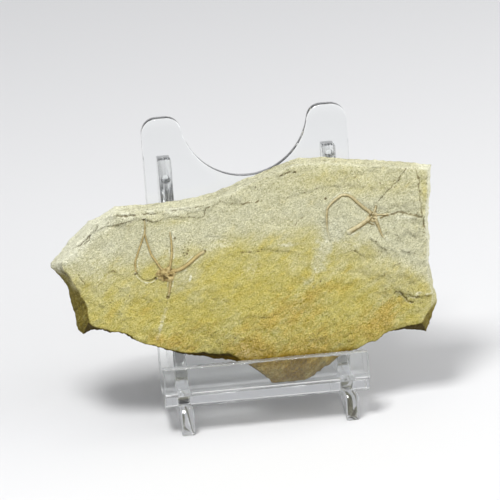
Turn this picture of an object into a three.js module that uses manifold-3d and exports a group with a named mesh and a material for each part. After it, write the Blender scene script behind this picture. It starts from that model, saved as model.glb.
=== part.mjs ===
// A fossil plate on its display easel: a broken slab of fine-grained limestone with two small brittle stars
// on its bedding face, leaning on a clear acrylic easel.
//
// Millimetres, +Z up, the viewer at -Y. The slab and the bent sheet are drawn in the easel's own axes:
//   u  across, to the viewer's right
//   v  up the back plate, from the inner corner of the ledge
//   n  out of the back plate's front face, towards the viewer
import * as THREE from "three";
import { mergeVertices } from "three/addons/utils/BufferGeometryUtils.js";
import Module from "manifold-3d";

const wasm = await Module();
wasm.setup();

// ---------------------------------------------------------------- driving dimensions

const GAP = 0.3; // between pieces that touch
const LEAN = THREE.MathUtils.degToRad(12); // of the back plate, from the vertical

const SHEET = 4; // acrylic thickness
const EASEL_WIDTH = 62.2;
const PLATE_HEIGHT = 82.6; // up the plate, above the ledge
const LEDGE_DEPTH = 13; // inside, from the plate to the lip
const LIP_HEIGHT = 9.2; // inside, above the ledge
const LEDGE_LIFT = 9; // of the ledge's inner corner, above the table
const BEND_RADIUS = 2; // inside, at the two heat bends
const PRONG_OUTER_RADIUS = 4.8;
const PRONG_INNER_RADIUS = 4.6;
const NOTCH_RADIUS = 19.3;
const NOTCH_CENTRE_V = 82.1;
const SHEET_OFFSET = -0.4; // of the sheet's middle, across, from the middle of the two legs

const LEG_SPACING = 50; // between the middles of the two legs
const LEG_TOP_V = 69.2;
const LEG_TOP_DEPTH = 7.5;
const LEG_REAR_Y = 40;
const LEG_HEEL = 5; // height of the rear end

const SLAB_THICKNESS = 9.9; // from the back plane to the bedding face
const SLAB_BACK_N = 0.4; // the back plane stands this far off the plate
const FACE_N = SLAB_BACK_N + SLAB_THICKNESS;

// ---------------------------------------------------------------- the slab's two outlines

// Each outline is four open sides, drawn anticlockwise as the viewer sees it, that share their end points.
// The face is smaller than the back, because the broken edges slope outwards.
const FACE_OUTLINE = {
  bottom: [
    [-52.1, 24.5], [-51, 23.1], [-46, 21.3], [-41, 19.8], [-36.2, 16.4], [-31.6, 14.7], [-27.5, 13.2],
    [-23.3, 12.2], [-17.8, 11.6], [-13.7, 10.8], [-10.8, 10.9], [-7.2, 7.8], [-1.6, 4.5], [0.5, 2.6],
    [1.2, 0.4], [12, 0.4], [16.3, 3.2], [19.4, 5.2], [23.9, 7.3], [28.4, 8.6], [33.8, 10.3],
    [38.9, 12.8], [48.3, 14.7],
  ],
  right: [
    [48.3, 14.7], [50.7, 18], [52.3, 22.9], [51.6, 26.7], [50.7, 34.2], [51.6, 40.3], [51.1, 45],
    [51.8, 51.5], [53, 61.8],
  ],
  top: [
    [53, 61.8], [44.6, 63.3], [37.1, 64.3], [29.6, 65.3], [22.1, 66.5], [14.6, 66.8], [10.4, 66.1],
    [1.1, 62.9], [-3.8, 61.2], [-9.4, 59.2], [-14.6, 57.7], [-27.6, 57], [-41.4, 57.2], [-45.1, 55.7],
    [-48.3, 54.4], [-51.4, 51.4], [-54.4, 48.3], [-58.9, 43.4],
  ],
  left: [
    [-58.9, 43.4], [-58.6, 41.9], [-57.2, 39.3], [-55.4, 36.1], [-53.6, 32], [-52.5, 29.5], [-52.1, 24.5],
  ],
};
const BACK_OUTLINE = {
  bottom: [
    [-53.7, 18.7], [-51.5, 20.2], [-46, 19.8], [-41, 18.2], [-36, 15], [-31.6, 13.2], [-25.6, 10.2],
    [-20, 8.7], [-14.5, 7.2], [-8.7, 6.3], [-4, 5.2], [0.6, 3.4], [2, 2.2], [12, 2.2], [16, 3.8],
    [19.4, 5.2], [24, 6.9], [31, 9.6], [35.4, 11], [40, 12], [45, 10.9], [50.6, 9.7],
  ],
  right: [
    [50.6, 9.7], [53.1, 15.5], [54.4, 20.4], [53.6, 24.5], [52.7, 32], [53.5, 38.5], [53.1, 45.5],
    [54.4, 53.3], [55, 61.3],
  ],
  top: [
    [55, 61.3], [45.7, 63.2], [38.5, 64.1], [31.2, 65.3], [19.2, 66.7], [15.4, 67], [12.4, 66.5],
    [7.9, 65.2], [0.1, 62.4], [-6.2, 60.5], [-10.6, 58.9], [-17.1, 57.6], [-31.6, 57], [-41.3, 57.1],
    [-45.3, 54.7], [-49.6, 53.6], [-50.4, 52.6], [-56.5, 47.1], [-61.9, 41.5],
  ],
  left: [
    [-61.9, 41.5], [-61.8, 40.2], [-58.7, 36.4], [-57, 33.6], [-56.7, 29.2], [-55.7, 25.6],
    [-55.3, 20.3], [-53.7, 18.7],
  ],
};

// Lines where one paper-thin bed ends and the next begins.
const UPPER_BED_LINE = [
  [-62, 47], [-48, 52.3], [-41, 53.8], [-37, 54.8], [-34, 54.9], [-29.5, 53.8], [-16, 53.6],
  [-14.5, 56.5], [-4, 56.9], [5, 57.3], [13.7, 57.7], [19, 59.4], [30, 59], [40, 60], [60, 62],
];
const RIDGE_LINE = [[-12, 41], [-1.6, 42.2], [2.1, 42.3], [7.3, 41.4], [13.4, 39.6], [20, 38]];
const EAST_LINE = [[36, 49.6], [41.3, 49.8], [44.1, 49.5], [50.3, 47.7], [56, 47]];
const CHIP_LINE = [[38, 27], [40.9, 25.2], [42.9, 23.4], [45.7, 21.4], [51.2, 22.6], [58, 23]];
const EDGE_STRIP_U = 49.8; // the upper right edge is one bed lower beyond this
const UPPER_BED_RISE = 0.9;
const RIDGE_RISE = 0.45;
const EAST_RISE = 0.7; // of the bed below its line
const EDGE_STRIP_DROP = 0.9;
const CHIP_DROP = 1.3; // below its line, at the lower right corner

// ---------------------------------------------------------------- the two brittle stars

// Arms are centre lines on the bedding face, from the disc outwards. Widths are at the first and the last
// point. A mould is the empty groove of an arm that has broken away.
const LEFT_STAR = {
  disc: { centre: [-27.9, 37], radii: [3, 2.2], turn: 0.1 },
  arms: [
    {
      line: [[-28, 37.2], [-29.8, 39.9], [-31.9, 43.4], [-33.1, 47.5], [-33.3, 50.4], [-33.1, 54.3]],
      widths: [0.95, 0.6],
    },
    {
      line: [[-36.6, 37.7], [-37.1, 40.4], [-36.3, 43.6], [-34.5, 47.7], [-33.3, 50.3]],
      widths: [0.7, 0.75],
    },
    { line: [[-27.2, 37.2], [-26.1, 41.5], [-25.6, 45.4], [-25.6, 50.1]], widths: [1.05, 0.7] },
    { line: [[-27.4, 37.1], [-22.8, 38.3], [-19.1, 41], [-15.9, 43]], widths: [1.3, 1] },
    { line: [[-27.6, 36.8], [-26.7, 34.2], [-27, 32.6], [-27.8, 30.2]], widths: [1.1, 0.8] },
  ],
  moulds: [
    { line: [[-30.2, 36.6], [-32.2, 35.6], [-33.6, 35.4], [-35, 35.9], [-36.6, 37.7]], widths: [0.8, 0.8] },
  ],
};
const RIGHT_STAR = {
  disc: { centre: [35.3, 49.4], radii: [1.8, 1.5], turn: -0.6 },
  arms: [
    {
      line: [
        [35.2, 49.6], [33.1, 52.2], [29.5, 56], [28, 56.7], [26.4, 56.7], [24.7, 55.6], [22.1, 53.2],
        [21.4, 48.5], [21.8, 44.4],
      ],
      widths: [1, 0.55],
    },
    { line: [[35.2, 49.4], [32.2, 47.3], [27.5, 44.9]], widths: [1.2, 1.25] },
    { line: [[35.3, 49.2], [36.5, 46.4], [37.5, 43], [38, 42.2]], widths: [1.1, 0.7] },
    { line: [[35.4, 49.5], [38.3, 49.5], [40.8, 49.3]], widths: [0.9, 0.6] },
    { line: [[35.4, 49.6], [36.4, 51.4], [37.2, 53.5]], widths: [1, 0.6] },
  ],
  moulds: [{ line: [[37.2, 53.5], [41.9, 57.9], [48, 63.6]], widths: [0.7, 0.7] }],
};
const ARM_HEIGHT = 1; // of an arm's section, standing less than half out of the face
const ARM_SINK = 0.1; // of an arm's middle, below the face
const DISC_HEIGHT = 1.5;

// ---------------------------------------------------------------- geometry helpers

// A three.js geometry as a manifold-3d solid.
function solidFrom(geometry) {
  const bare = geometry.index ? geometry.toNonIndexed() : geometry.clone();
  for (const name of Object.keys(bare.attributes)) {
    if (name !== "position") bare.deleteAttribute(name);
  }
  const merged = mergeVertices(bare, 1e-4);
  return new wasm.Manifold(
    new wasm.Mesh({
      numProp: 3,
      vertProperties: new Float32Array(merged.attributes.position.array),
      triVerts: new Uint32Array(merged.index.array),
    }),
  );
}

// A manifold-3d solid as a three.js geometry.
function geometryFrom(solid) {
  const { vertProperties, triVerts } = solid.getMesh();
  const geometry = new THREE.BufferGeometry();
  geometry.setAttribute("position", new THREE.BufferAttribute(new Float32Array(vertProperties), 3));
  geometry.setIndex(new THREE.BufferAttribute(new Uint32Array(triVerts), 1));
  geometry.computeVertexNormals();
  return geometry;
}

function geometryOf(points, triangles) {
  const geometry = new THREE.BufferGeometry();
  geometry.setAttribute("position", new THREE.Float32BufferAttribute(points.flat(), 3));
  geometry.setIndex(triangles.flat());
  return geometry;
}

// The height of a line of [x, y] points, in order of x, at any x.
function heightOnLine(line, x) {
  const after = line.findIndex(([px]) => px > x);
  if (after === 0) return line[0][1];
  if (after < 0) return line[line.length - 1][1];
  const [[x0, y0], [x1, y1]] = [line[after - 1], line[after]];
  return y0 + ((y1 - y0) * (x - x0)) / (x1 - x0);
}

const smooth = (x, from, to) => THREE.MathUtils.smoothstep(x, from, to);

// count + 1 points at even distances along a line of [u, v] points.
function spaced(line, count) {
  const lengths = [0];
  for (let i = 1; i < line.length; i++) {
    lengths.push(lengths[i - 1] + Math.hypot(line[i][0] - line[i - 1][0], line[i][1] - line[i - 1][1]));
  }
  const total = lengths[lengths.length - 1];
  return Array.from({ length: count + 1 }, (_, k) => {
    const s = (total * k) / count;
    const i = Math.max(1, lengths.findIndex((d) => d >= s - 1e-9));
    const t = (s - lengths[i - 1]) / (lengths[i] - lengths[i - 1]);
    return [0, 1].map((axis) => line[i - 1][axis] + (line[i][axis] - line[i - 1][axis]) * t);
  });
}

// ---------------------------------------------------------------- the slab

const ACROSS = 52; // cells along the slab
const UPWARDS = 22; // cells up the slab
const WALL_ROWS = 3; // cells through its thickness
const WALL_BULGE = 0.5; // of the broken edge, in and out of a straight lean
const BACK_HOLLOW = 0.45; // mean depth

// 0 below a line that runs across the slab, 1 above it, with an even slope of the given width between.
function aboveLine(line, u, v, width) {
  return smooth(v - heightOnLine(line, u), -width / 2, width / 2);
}

// Height of the bedding face over its mean plane: slow waves, and the small steps where beds have split off.
function bedHeight(u, v) {
  const waves =
    0.28 * Math.sin(u / 9.5 + 0.6) * Math.cos(v / 11 - 0.4) +
    0.16 * Math.sin(u / 4.7 + v / 6.1) +
    0.22 * Math.sin(v / 17 - u / 31);
  const upperFade = 1 - 0.7 * smooth(u, -10, 15) - 0.3 * smooth(u, 15, 36);
  const upperBed = UPPER_BED_RISE * upperFade * aboveLine(UPPER_BED_LINE, u, v, 1.6);
  const ridgeReach = smooth(u, -12, -2) * (1 - smooth(u, 12, 20));
  const ridgeFade = 1 - smooth(v - heightOnLine(RIDGE_LINE, u), 1, 9);
  const ridge = RIDGE_RISE * ridgeReach * ridgeFade * aboveLine(RIDGE_LINE, u, v, 1.6);
  const eastFade = 1 - smooth(heightOnLine(EAST_LINE, u) - v, 2, 11);
  const east = EAST_RISE * smooth(u, 38, 43) * eastFade * (1 - aboveLine(EAST_LINE, u, v, 1.4));
  const strip = EDGE_STRIP_DROP * smooth(u, EDGE_STRIP_U - 0.8, EDGE_STRIP_U + 0.8) * smooth(v, 44, 49);
  const chip = CHIP_DROP * smooth(u, 38, 42) * (1 - aboveLine(CHIP_LINE, u, v, 1.8));
  return waves + upperBed + ridge + east - strip - chip;
}

// Depth of the hollows in the rough back, always into the stone.
function backHollow(u, v) {
  const waves = 0.67 * Math.sin(u / 8 + 1.1) * Math.sin(v / 7) + 0.33 * Math.cos(u / 3.9 - v / 5.2);
  return BACK_HOLLOW * (1 + waves);
}

// A grid of [u, v] points between four sides: each point blends its two rows and its two columns, which is
// a Coons patch.
function patch(sides) {
  const bottom = spaced(sides.bottom, ACROSS);
  const right = spaced(sides.right, UPWARDS);
  const top = spaced(sides.top, ACROSS).reverse();
  const left = spaced(sides.left, UPWARDS).reverse();
  const blend = (s, t, i, j, axis) =>
    (1 - t) * bottom[i][axis] + t * top[i][axis] + (1 - s) * left[j][axis] + s * right[j][axis] -
    (1 - s) * (1 - t) * bottom[0][axis] - s * (1 - t) * bottom[ACROSS][axis] -
    (1 - s) * t * top[0][axis] - s * t * top[ACROSS][axis];
  const rows = [];
  for (let j = 0; j <= UPWARDS; j++) {
    for (let i = 0; i <= ACROSS; i++) {
      rows.push([0, 1].map((axis) => blend(i / ACROSS, j / UPWARDS, i, j, axis)));
    }
  }
  return rows;
}

// The places of the grid's edge points, anticlockwise.
function gridRing() {
  const at = (i, j) => j * (ACROSS + 1) + i;
  const ring = [];
  for (let i = 0; i < ACROSS; i++) ring.push(at(i, 0));
  for (let j = 0; j < UPWARDS; j++) ring.push(at(ACROSS, j));
  for (let i = ACROSS; i > 0; i--) ring.push(at(i, UPWARDS));
  for (let j = UPWARDS; j > 0; j--) ring.push(at(0, j));
  return ring;
}

function gridTriangles(first, outwards) {
  const triangles = [];
  for (let j = 0; j < UPWARDS; j++) {
    for (let i = 0; i < ACROSS; i++) {
      const a = first + j * (ACROSS + 1) + i;
      const [b, c, d] = [a + 1, a + ACROSS + 2, a + ACROSS + 1];
      triangles.push(...(outwards ? [[a, b, c], [a, c, d]] : [[a, c, b], [a, d, c]]));
    }
  }
  return triangles;
}

// The broken slab: bedding face, rough back, and a wall that leans out between their rims.
function slabSolid() {
  const face = patch(FACE_OUTLINE).map(([u, v]) => [u, v, FACE_N + bedHeight(u, v)]);
  const back = patch(BACK_OUTLINE).map(([u, v]) => [u, v, SLAB_BACK_N + backHollow(u, v)]);
  const points = [...face, ...back];
  const rings = [gridRing()];
  for (let row = 1; row < WALL_ROWS; row++) {
    const share = row / WALL_ROWS;
    const bulge = WALL_BULGE * Math.sin(Math.PI * share);
    rings.push(
      gridRing().map((place, k) => {
        const [f, b] = [face[place], back[place]];
        const wander = bulge * Math.sin(k * 0.9 + row * 2.1);
        const lean = share + wander * 0.3;
        points.push([f[0] + (b[0] - f[0]) * lean, f[1] + (b[1] - f[1]) * lean, f[2] + (b[2] - f[2]) * share]);
        return points.length - 1;
      }),
    );
  }
  rings.push(gridRing().map((place) => place + face.length));
  const triangles = [...gridTriangles(0, true), ...gridTriangles(face.length, false)];
  for (let row = 0; row < WALL_ROWS; row++) {
    const [upper, lower] = [rings[row], rings[row + 1]];
    upper.forEach((a, k) => {
      const next = (k + 1) % upper.length;
      triangles.push([a, lower[k], lower[next]], [a, lower[next], upper[next]]);
    });
  }
  return solidFrom(geometryOf(points, triangles));
}

// ---------------------------------------------------------------- the stars

const ARM_SIDES = 6;
const ARM_STEP = 1.9;

// A tapering tube of oval section that follows a line over the bedding face, wider all round by margin.
function armSolid({ line, widths }, margin) {
  const curve = new THREE.CatmullRomCurve3(line.map(([u, v]) => new THREE.Vector3(u, v, 0)));
  const steps = Math.max(3, Math.round(curve.getLength() / ARM_STEP));
  const points = [];
  for (let k = 0; k <= steps; k++) {
    const t = k / steps;
    const place = curve.getPointAt(t);
    const along = curve.getTangentAt(t);
    if (k === 0) place.addScaledVector(along, -margin);
    if (k === steps) place.addScaledVector(along, margin);
    const height = FACE_N + bedHeight(place.x, place.y) - ARM_SINK;
    const halfWidth = THREE.MathUtils.lerp(widths[0], widths[1], t) / 2 + margin;
    const halfHeight = ARM_HEIGHT / 2 + margin;
    for (let s = 0; s < ARM_SIDES; s++) {
      const angle = (2 * Math.PI * (s + 0.5)) / ARM_SIDES;
      const side = halfWidth * Math.cos(angle);
      const rise = halfHeight * Math.sin(angle);
      points.push([place.x - along.y * side, place.y + along.x * side, height + rise]);
    }
  }
  const triangles = [];
  for (let k = 0; k < steps; k++) {
    for (let s = 0; s < ARM_SIDES; s++) {
      const [a, b] = [k * ARM_SIDES + s, k * ARM_SIDES + ((s + 1) % ARM_SIDES)];
      triangles.push([a, b, b + ARM_SIDES], [a, b + ARM_SIDES, a + ARM_SIDES]);
    }
  }
  const last = steps * ARM_SIDES;
  for (let s = 1; s < ARM_SIDES - 1; s++) {
    triangles.push([0, s + 1, s], [last, last + s, last + s + 1]);
  }
  const made = solidFrom(geometryOf(points, triangles));
  if (made.volume() > 0) return made;
  return solidFrom(geometryOf(points, triangles.map(([a, b, c]) => [a, c, b])));
}

// The low dome of a star's body.
function discSolid({ centre, radii, turn }, margin) {
  const dome = new THREE.SphereGeometry(1, 12, 6);
  dome.rotateX(Math.PI / 2);
  dome.scale(radii[0] + margin, radii[1] + margin, DISC_HEIGHT / 2 + margin);
  dome.rotateZ(turn);
  dome.translate(centre[0], centre[1], FACE_N + bedHeight(...centre) - ARM_SINK);
  return solidFrom(dome);
}

function starSolid(star, margin = 0, lines = star.arms) {
  return lines.reduce((whole, arm) => whole.add(armSolid(arm, margin)), discSolid(star.disc, margin));
}

// ---------------------------------------------------------------- the easel

// The bent sheet's section in the (n, v) plane: lip, ledge and back plate, with round bends.
function sheetProfile() {
  const outer = BEND_RADIUS + SHEET;
  const lipBack = LEDGE_DEPTH;
  const lipFront = LEDGE_DEPTH + SHEET;
  const quarter = Math.PI / 2;
  const s = new THREE.Shape();
  s.moveTo(0, PLATE_HEIGHT);
  s.lineTo(-SHEET, PLATE_HEIGHT);
  s.absarc(-SHEET + outer, -SHEET + outer, outer, Math.PI, Math.PI + quarter, false);
  s.absarc(lipFront - outer, -SHEET + outer, outer, -quarter, 0, false);
  s.lineTo(lipFront, LIP_HEIGHT);
  s.lineTo(lipBack, LIP_HEIGHT);
  s.absarc(lipBack - BEND_RADIUS, BEND_RADIUS, BEND_RADIUS, 0, -quarter, true);
  s.absarc(BEND_RADIUS, BEND_RADIUS, BEND_RADIUS, Math.PI + quarter, Math.PI, true);
  s.closePath();
  return s;
}

// All that lies outside the plate's top edge: two round-topped prongs with a round notch between them.
function topCutter() {
  const half = EASEL_WIDTH / 2;
  const margin = 2;
  const cornerU = half - PRONG_OUTER_RADIUS;
  const cornerV = PLATE_HEIGHT - PRONG_OUTER_RADIUS;
  const filletV = PLATE_HEIGHT - PRONG_INNER_RADIUS;
  const reach = NOTCH_RADIUS + PRONG_INNER_RADIUS;
  const filletU = Math.sqrt(reach ** 2 - (filletV - NOTCH_CENTRE_V) ** 2);
  const tangent = Math.atan2(filletV - NOTCH_CENTRE_V, filletU);
  const s = new THREE.Shape();
  s.moveTo(-half - margin, PLATE_HEIGHT + margin);
  s.lineTo(-half - margin, cornerV);
  s.absarc(-cornerU, cornerV, PRONG_OUTER_RADIUS, Math.PI, Math.PI / 2, true);
  s.absarc(-filletU, filletV, PRONG_INNER_RADIUS, Math.PI / 2, -tangent, true);
  s.absarc(0, NOTCH_CENTRE_V, NOTCH_RADIUS, Math.PI - tangent, 2 * Math.PI + tangent, false);
  s.absarc(filletU, filletV, PRONG_INNER_RADIUS, Math.PI + tangent, Math.PI / 2, true);
  s.absarc(cornerU, cornerV, PRONG_OUTER_RADIUS, Math.PI / 2, 0, true);
  s.lineTo(half + margin, cornerV);
  s.lineTo(half + margin, PLATE_HEIGHT + margin);
  s.closePath();
  const depth = SHEET + 2 * margin;
  const cutter = new THREE.ExtrudeGeometry(s, { depth, bevelEnabled: false, curveSegments: 10 });
  return solidFrom(cutter.translate(0, 0, -SHEET - margin));
}

function easelPlateSolid() {
  const sheet = new THREE.ExtrudeGeometry(sheetProfile(), {
    depth: EASEL_WIDTH,
    bevelEnabled: false,
    curveSegments: 5,
  });
  const toEaselAxes = new THREE.Matrix4().makeBasis(
    new THREE.Vector3(0, 0, 1),
    new THREE.Vector3(0, 1, 0),
    new THREE.Vector3(-1, 0, 0),
  );
  sheet.applyMatrix4(toEaselAxes).translate(EASEL_WIDTH / 2, 0, 0);
  return solidFrom(sheet).subtract(topCutter()).translate([SHEET_OFFSET, 0, 0]);
}

// [y, z] over the table of a point of the leaning section.
function standing(n, v) {
  return [
    v * Math.sin(LEAN) - n * Math.cos(LEAN),
    LEDGE_LIFT + v * Math.cos(LEAN) + n * Math.sin(LEAN),
  ];
}

// One leg: a flat fin edge-on to the viewer, that cradles the ledge and backs the plate.
function legGeometry() {
  const back = -SHEET - GAP;
  const [frontY, frontZ] = standing(LEDGE_DEPTH + SHEET - 0.5, back);
  const [topY, topZ] = standing(back - LEG_TOP_DEPTH, LEG_TOP_V);
  const s = new THREE.Shape();
  s.moveTo(frontY, 0);
  s.lineTo(LEG_REAR_Y, 0);
  s.lineTo(LEG_REAR_Y, LEG_HEEL);
  s.quadraticCurveTo(topY + 3, 32, topY, topZ);
  s.lineTo(...standing(back, LEG_TOP_V));
  s.lineTo(...standing(back, back));
  s.lineTo(frontY, frontZ);
  s.closePath();
  const fin = new THREE.ExtrudeGeometry(s, { depth: SHEET, bevelEnabled: false, curveSegments: 10 });
  const upright = new THREE.Matrix4().makeBasis(
    new THREE.Vector3(0, 1, 0),
    new THREE.Vector3(0, 0, 1),
    new THREE.Vector3(1, 0, 0),
  );
  return fin.applyMatrix4(upright).translate(-SHEET / 2, 0, 0);
}

// ---------------------------------------------------------------- materials

const limestone = new THREE.MeshStandardMaterial({ color: 0xc9bd8c, roughness: 0.92, metalness: 0 });
const calcite = new THREE.MeshStandardMaterial({ color: 0xb98a55, roughness: 0.7, metalness: 0 });
const acrylic = new THREE.MeshStandardMaterial({
  color: 0xe9f1f0,
  roughness: 0.05,
  metalness: 0,
  transparent: true,
  opacity: 0.3,
});

// ---------------------------------------------------------------- assembly

function mesh(name, geometry, material) {
  const made = new THREE.Mesh(geometry, material);
  made.name = name;
  return made;
}

function leaningPieces() {
  const leaning = new THREE.Group();
  leaning.rotation.x = Math.PI / 2 - LEAN;
  leaning.position.z = LEDGE_LIFT;
  const beds = [LEFT_STAR, RIGHT_STAR].map((star) => starSolid(star, GAP, [...star.arms, ...star.moulds]));
  const slab = beds.reduce((stone, bed) => stone.subtract(bed), slabSolid());
  leaning.add(
    mesh("slab", geometryFrom(slab), limestone),
    mesh("brittle_star_left", geometryFrom(starSolid(LEFT_STAR)), calcite),
    mesh("brittle_star_right", geometryFrom(starSolid(RIGHT_STAR)), calcite),
    mesh("easel_plate", geometryFrom(easelPlateSolid()), acrylic),
  );
  return leaning;
}

function legs() {
  return [["left", -1], ["right", 1]].map(([side, sign]) => {
    const leg = mesh(`easel_leg_${side}`, legGeometry(), acrylic);
    leg.position.x = (sign * LEG_SPACING) / 2;
    return leg;
  });
}

// The origin is on the table, under the middle of the whole object's box.
function fossilOnEasel() {
  const whole = new THREE.Group();
  whole.add(leaningPieces(), ...legs());
  whole.updateMatrixWorld(true);
  const middle = new THREE.Box3().setFromObject(whole, true).getCenter(new THREE.Vector3());
  whole.position.set(-middle.x, -middle.y, 0);
  return whole;
}

export default fossilOnEasel();
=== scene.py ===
import math

import bpy
import numpy as np
from mathutils import Matrix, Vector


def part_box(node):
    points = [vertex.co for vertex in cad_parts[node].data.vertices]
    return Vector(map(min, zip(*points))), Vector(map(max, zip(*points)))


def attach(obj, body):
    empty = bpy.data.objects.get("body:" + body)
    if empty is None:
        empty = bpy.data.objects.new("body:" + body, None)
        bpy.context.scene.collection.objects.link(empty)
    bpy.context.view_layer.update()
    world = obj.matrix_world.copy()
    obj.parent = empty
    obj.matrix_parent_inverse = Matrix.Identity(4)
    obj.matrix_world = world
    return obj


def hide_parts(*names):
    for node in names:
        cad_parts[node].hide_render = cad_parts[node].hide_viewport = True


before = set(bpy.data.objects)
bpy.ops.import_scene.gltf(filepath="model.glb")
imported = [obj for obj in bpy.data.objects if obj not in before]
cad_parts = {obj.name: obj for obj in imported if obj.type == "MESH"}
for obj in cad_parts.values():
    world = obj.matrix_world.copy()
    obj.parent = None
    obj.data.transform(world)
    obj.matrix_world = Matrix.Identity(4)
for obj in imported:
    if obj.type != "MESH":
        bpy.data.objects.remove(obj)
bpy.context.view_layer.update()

MM = 0.001

# ---------------------------------------------------------------- sizes

LEAN = math.radians(12)  # of the back plate, from the vertical
LEDGE_LIFT = 9  # of the ledge's inner corner, above the table
LEG_REAR_Y = 40  # of the legs' rear ends, behind that corner

SHEET = 4  # acrylic thickness
EASEL_WIDTH = 62.2
PLATE_HEIGHT = 82.6
LEDGE_DEPTH = 13
LIP_HEIGHT = 9.2
BEND_RADIUS = 2  # inside
PRONG_OUTER_RADIUS = 4.8
PRONG_INNER_RADIUS = 4.6
NOTCH_RADIUS = 19.3
NOTCH_CENTRE_V = 82.1
SHEET_OFFSET = -0.4
EDGE_ROUND = 0.45  # of the sheet's polished edges
BUBBLE_RADIUS = 1.4
BUBBLE_DEPTH = 0.22
FOOT_AIR = 0.04  # between the legs' polished undersides and the table

LEG_SPACING = 50
LEG_GAP = 0.3  # between a leg and the sheet
LEG_TOP_V = 69.2
LEG_TOP_DEPTH = 7.5
LEG_HEEL = 5

FACE_N = 10.3  # the bedding face's mean plane
BACK_N = 0.4  # the back's plane

# ---------------------------------------------------------------- the slab's outlines

# Four open sides each, drawn anticlockwise as the viewer sees them, that share their end points.
FACE_OUTLINE = {
    "bottom": [
        (-52.1, 24.5), (-51, 23.1), (-46, 21.3), (-41, 19.8), (-38.2, 17.7), (-36.2, 16.4), (-31.6, 14.7),
        (-27.5, 13.2), (-23.3, 12.2), (-17.8, 11.6), (-13.7, 10.8), (-10.8, 10.9), (-9.1, 9.6), (-7.2, 7.8),
        (-4.8, 6.5), (-1.6, 4.5), (0.5, 2.6), (1.4, 0.6), (5, 0.4), (11, 0.5), (13.3, 1.4), (16.3, 3.2),
        (19.4, 5.2), (23.9, 7.3), (28.4, 8.6), (30.9, 9.8), (33.8, 10.3), (35.4, 11.4), (38.9, 12.8),
        (43.8, 13.9), (48.3, 14.7),
    ],
    "right": [
        (48.3, 14.7), (49, 15.7), (50.7, 18), (51.7, 20.4), (52.3, 22.9), (51.6, 26.7), (51.1, 30.1),
        (50.7, 34.2), (51.4, 37.3), (51.6, 40.3), (51.1, 43.5), (51.2, 47.5), (51.8, 51.5), (52.5, 55.7),
        (53, 61.8),
    ],
    "top": [
        (53, 61.8), (44.6, 63.3), (37.1, 64.3), (29.6, 65.3), (22.1, 66.5), (14.6, 66.8), (10.4, 66.1),
        (6, 64.5), (1.1, 62.9), (-3.8, 61.2), (-9.4, 59.2), (-14.6, 57.7), (-20.7, 57.3), (-27.6, 57),
        (-34.2, 57.2), (-41.4, 57.2), (-45.1, 55.7), (-48.3, 54.4), (-51.4, 51.4), (-54.4, 48.3),
        (-58.9, 43.4),
    ],
    "left": [
        (-58.9, 43.4), (-58.6, 41.9), (-57.2, 39.3), (-55.4, 36.1), (-53.6, 32), (-52.8, 30.7),
        (-52.4, 28.9), (-52.4, 26.3), (-52.1, 24.5),
    ],
}
BACK_OUTLINE = {
    "bottom": [
        (-53.7, 18.7), (-51.5, 20.2), (-46, 19.8), (-41, 18.2), (-36, 15), (-31.6, 13.2), (-25.6, 10.2),
        (-20, 8.7), (-14.5, 7.2), (-8.7, 6.3), (-4, 5.2), (0.6, 3.4), (2, 2.2), (12, 2.2), (16, 3.8),
        (19.4, 5.2), (24, 6.9), (31, 9.6), (35.4, 11), (40, 12), (45, 10.9), (48.3, 10.4), (50.6, 9.7),
    ],
    "right": [
        (50.6, 9.7), (51.4, 12.1), (53.1, 15.5), (53.9, 17.9), (54.4, 20.4), (53.6, 24.5), (53.1, 28),
        (52.7, 32), (53.3, 35), (53.5, 38.5), (53.1, 41.5), (53.1, 45.5), (53.7, 49.4), (54.4, 53.3),
        (55, 61.3),
    ],
    "top": [
        (55, 61.3), (50.5, 62.3), (45.7, 63.2), (38.5, 64.1), (31.2, 65.3), (25.5, 66.3), (19.2, 66.7),
        (15.4, 67), (12.4, 66.5), (7.9, 65.2), (3.5, 63.6), (0.1, 62.4), (-6.2, 60.5), (-10.6, 58.9),
        (-17.1, 57.6), (-23.5, 57.3), (-31.6, 57), (-36.2, 57), (-41.3, 57.1), (-45.3, 54.7),
        (-49.6, 53.6), (-50.4, 52.6), (-56.5, 47.1), (-61.9, 41.5),
    ],
    "left": [
        (-61.9, 41.5), (-61.8, 40.2), (-58.7, 36.4), (-57, 33.6), (-56.7, 29.2), (-55.7, 25.6),
        (-55.7, 23), (-55.3, 20.3), (-53.7, 18.7),
    ],
}

# ---------------------------------------------------------------- the bedding face's relief

STEP_SOFT = 0.22  # half the width over which a bed edge steps
FLAKE_STEP = 0.22  # height of one flake
PIT_DEPTH = 0.45
MOAT_DEPTH = 0.16  # of the groove round an arm
MOAT_WIDTH = 0.22

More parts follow.
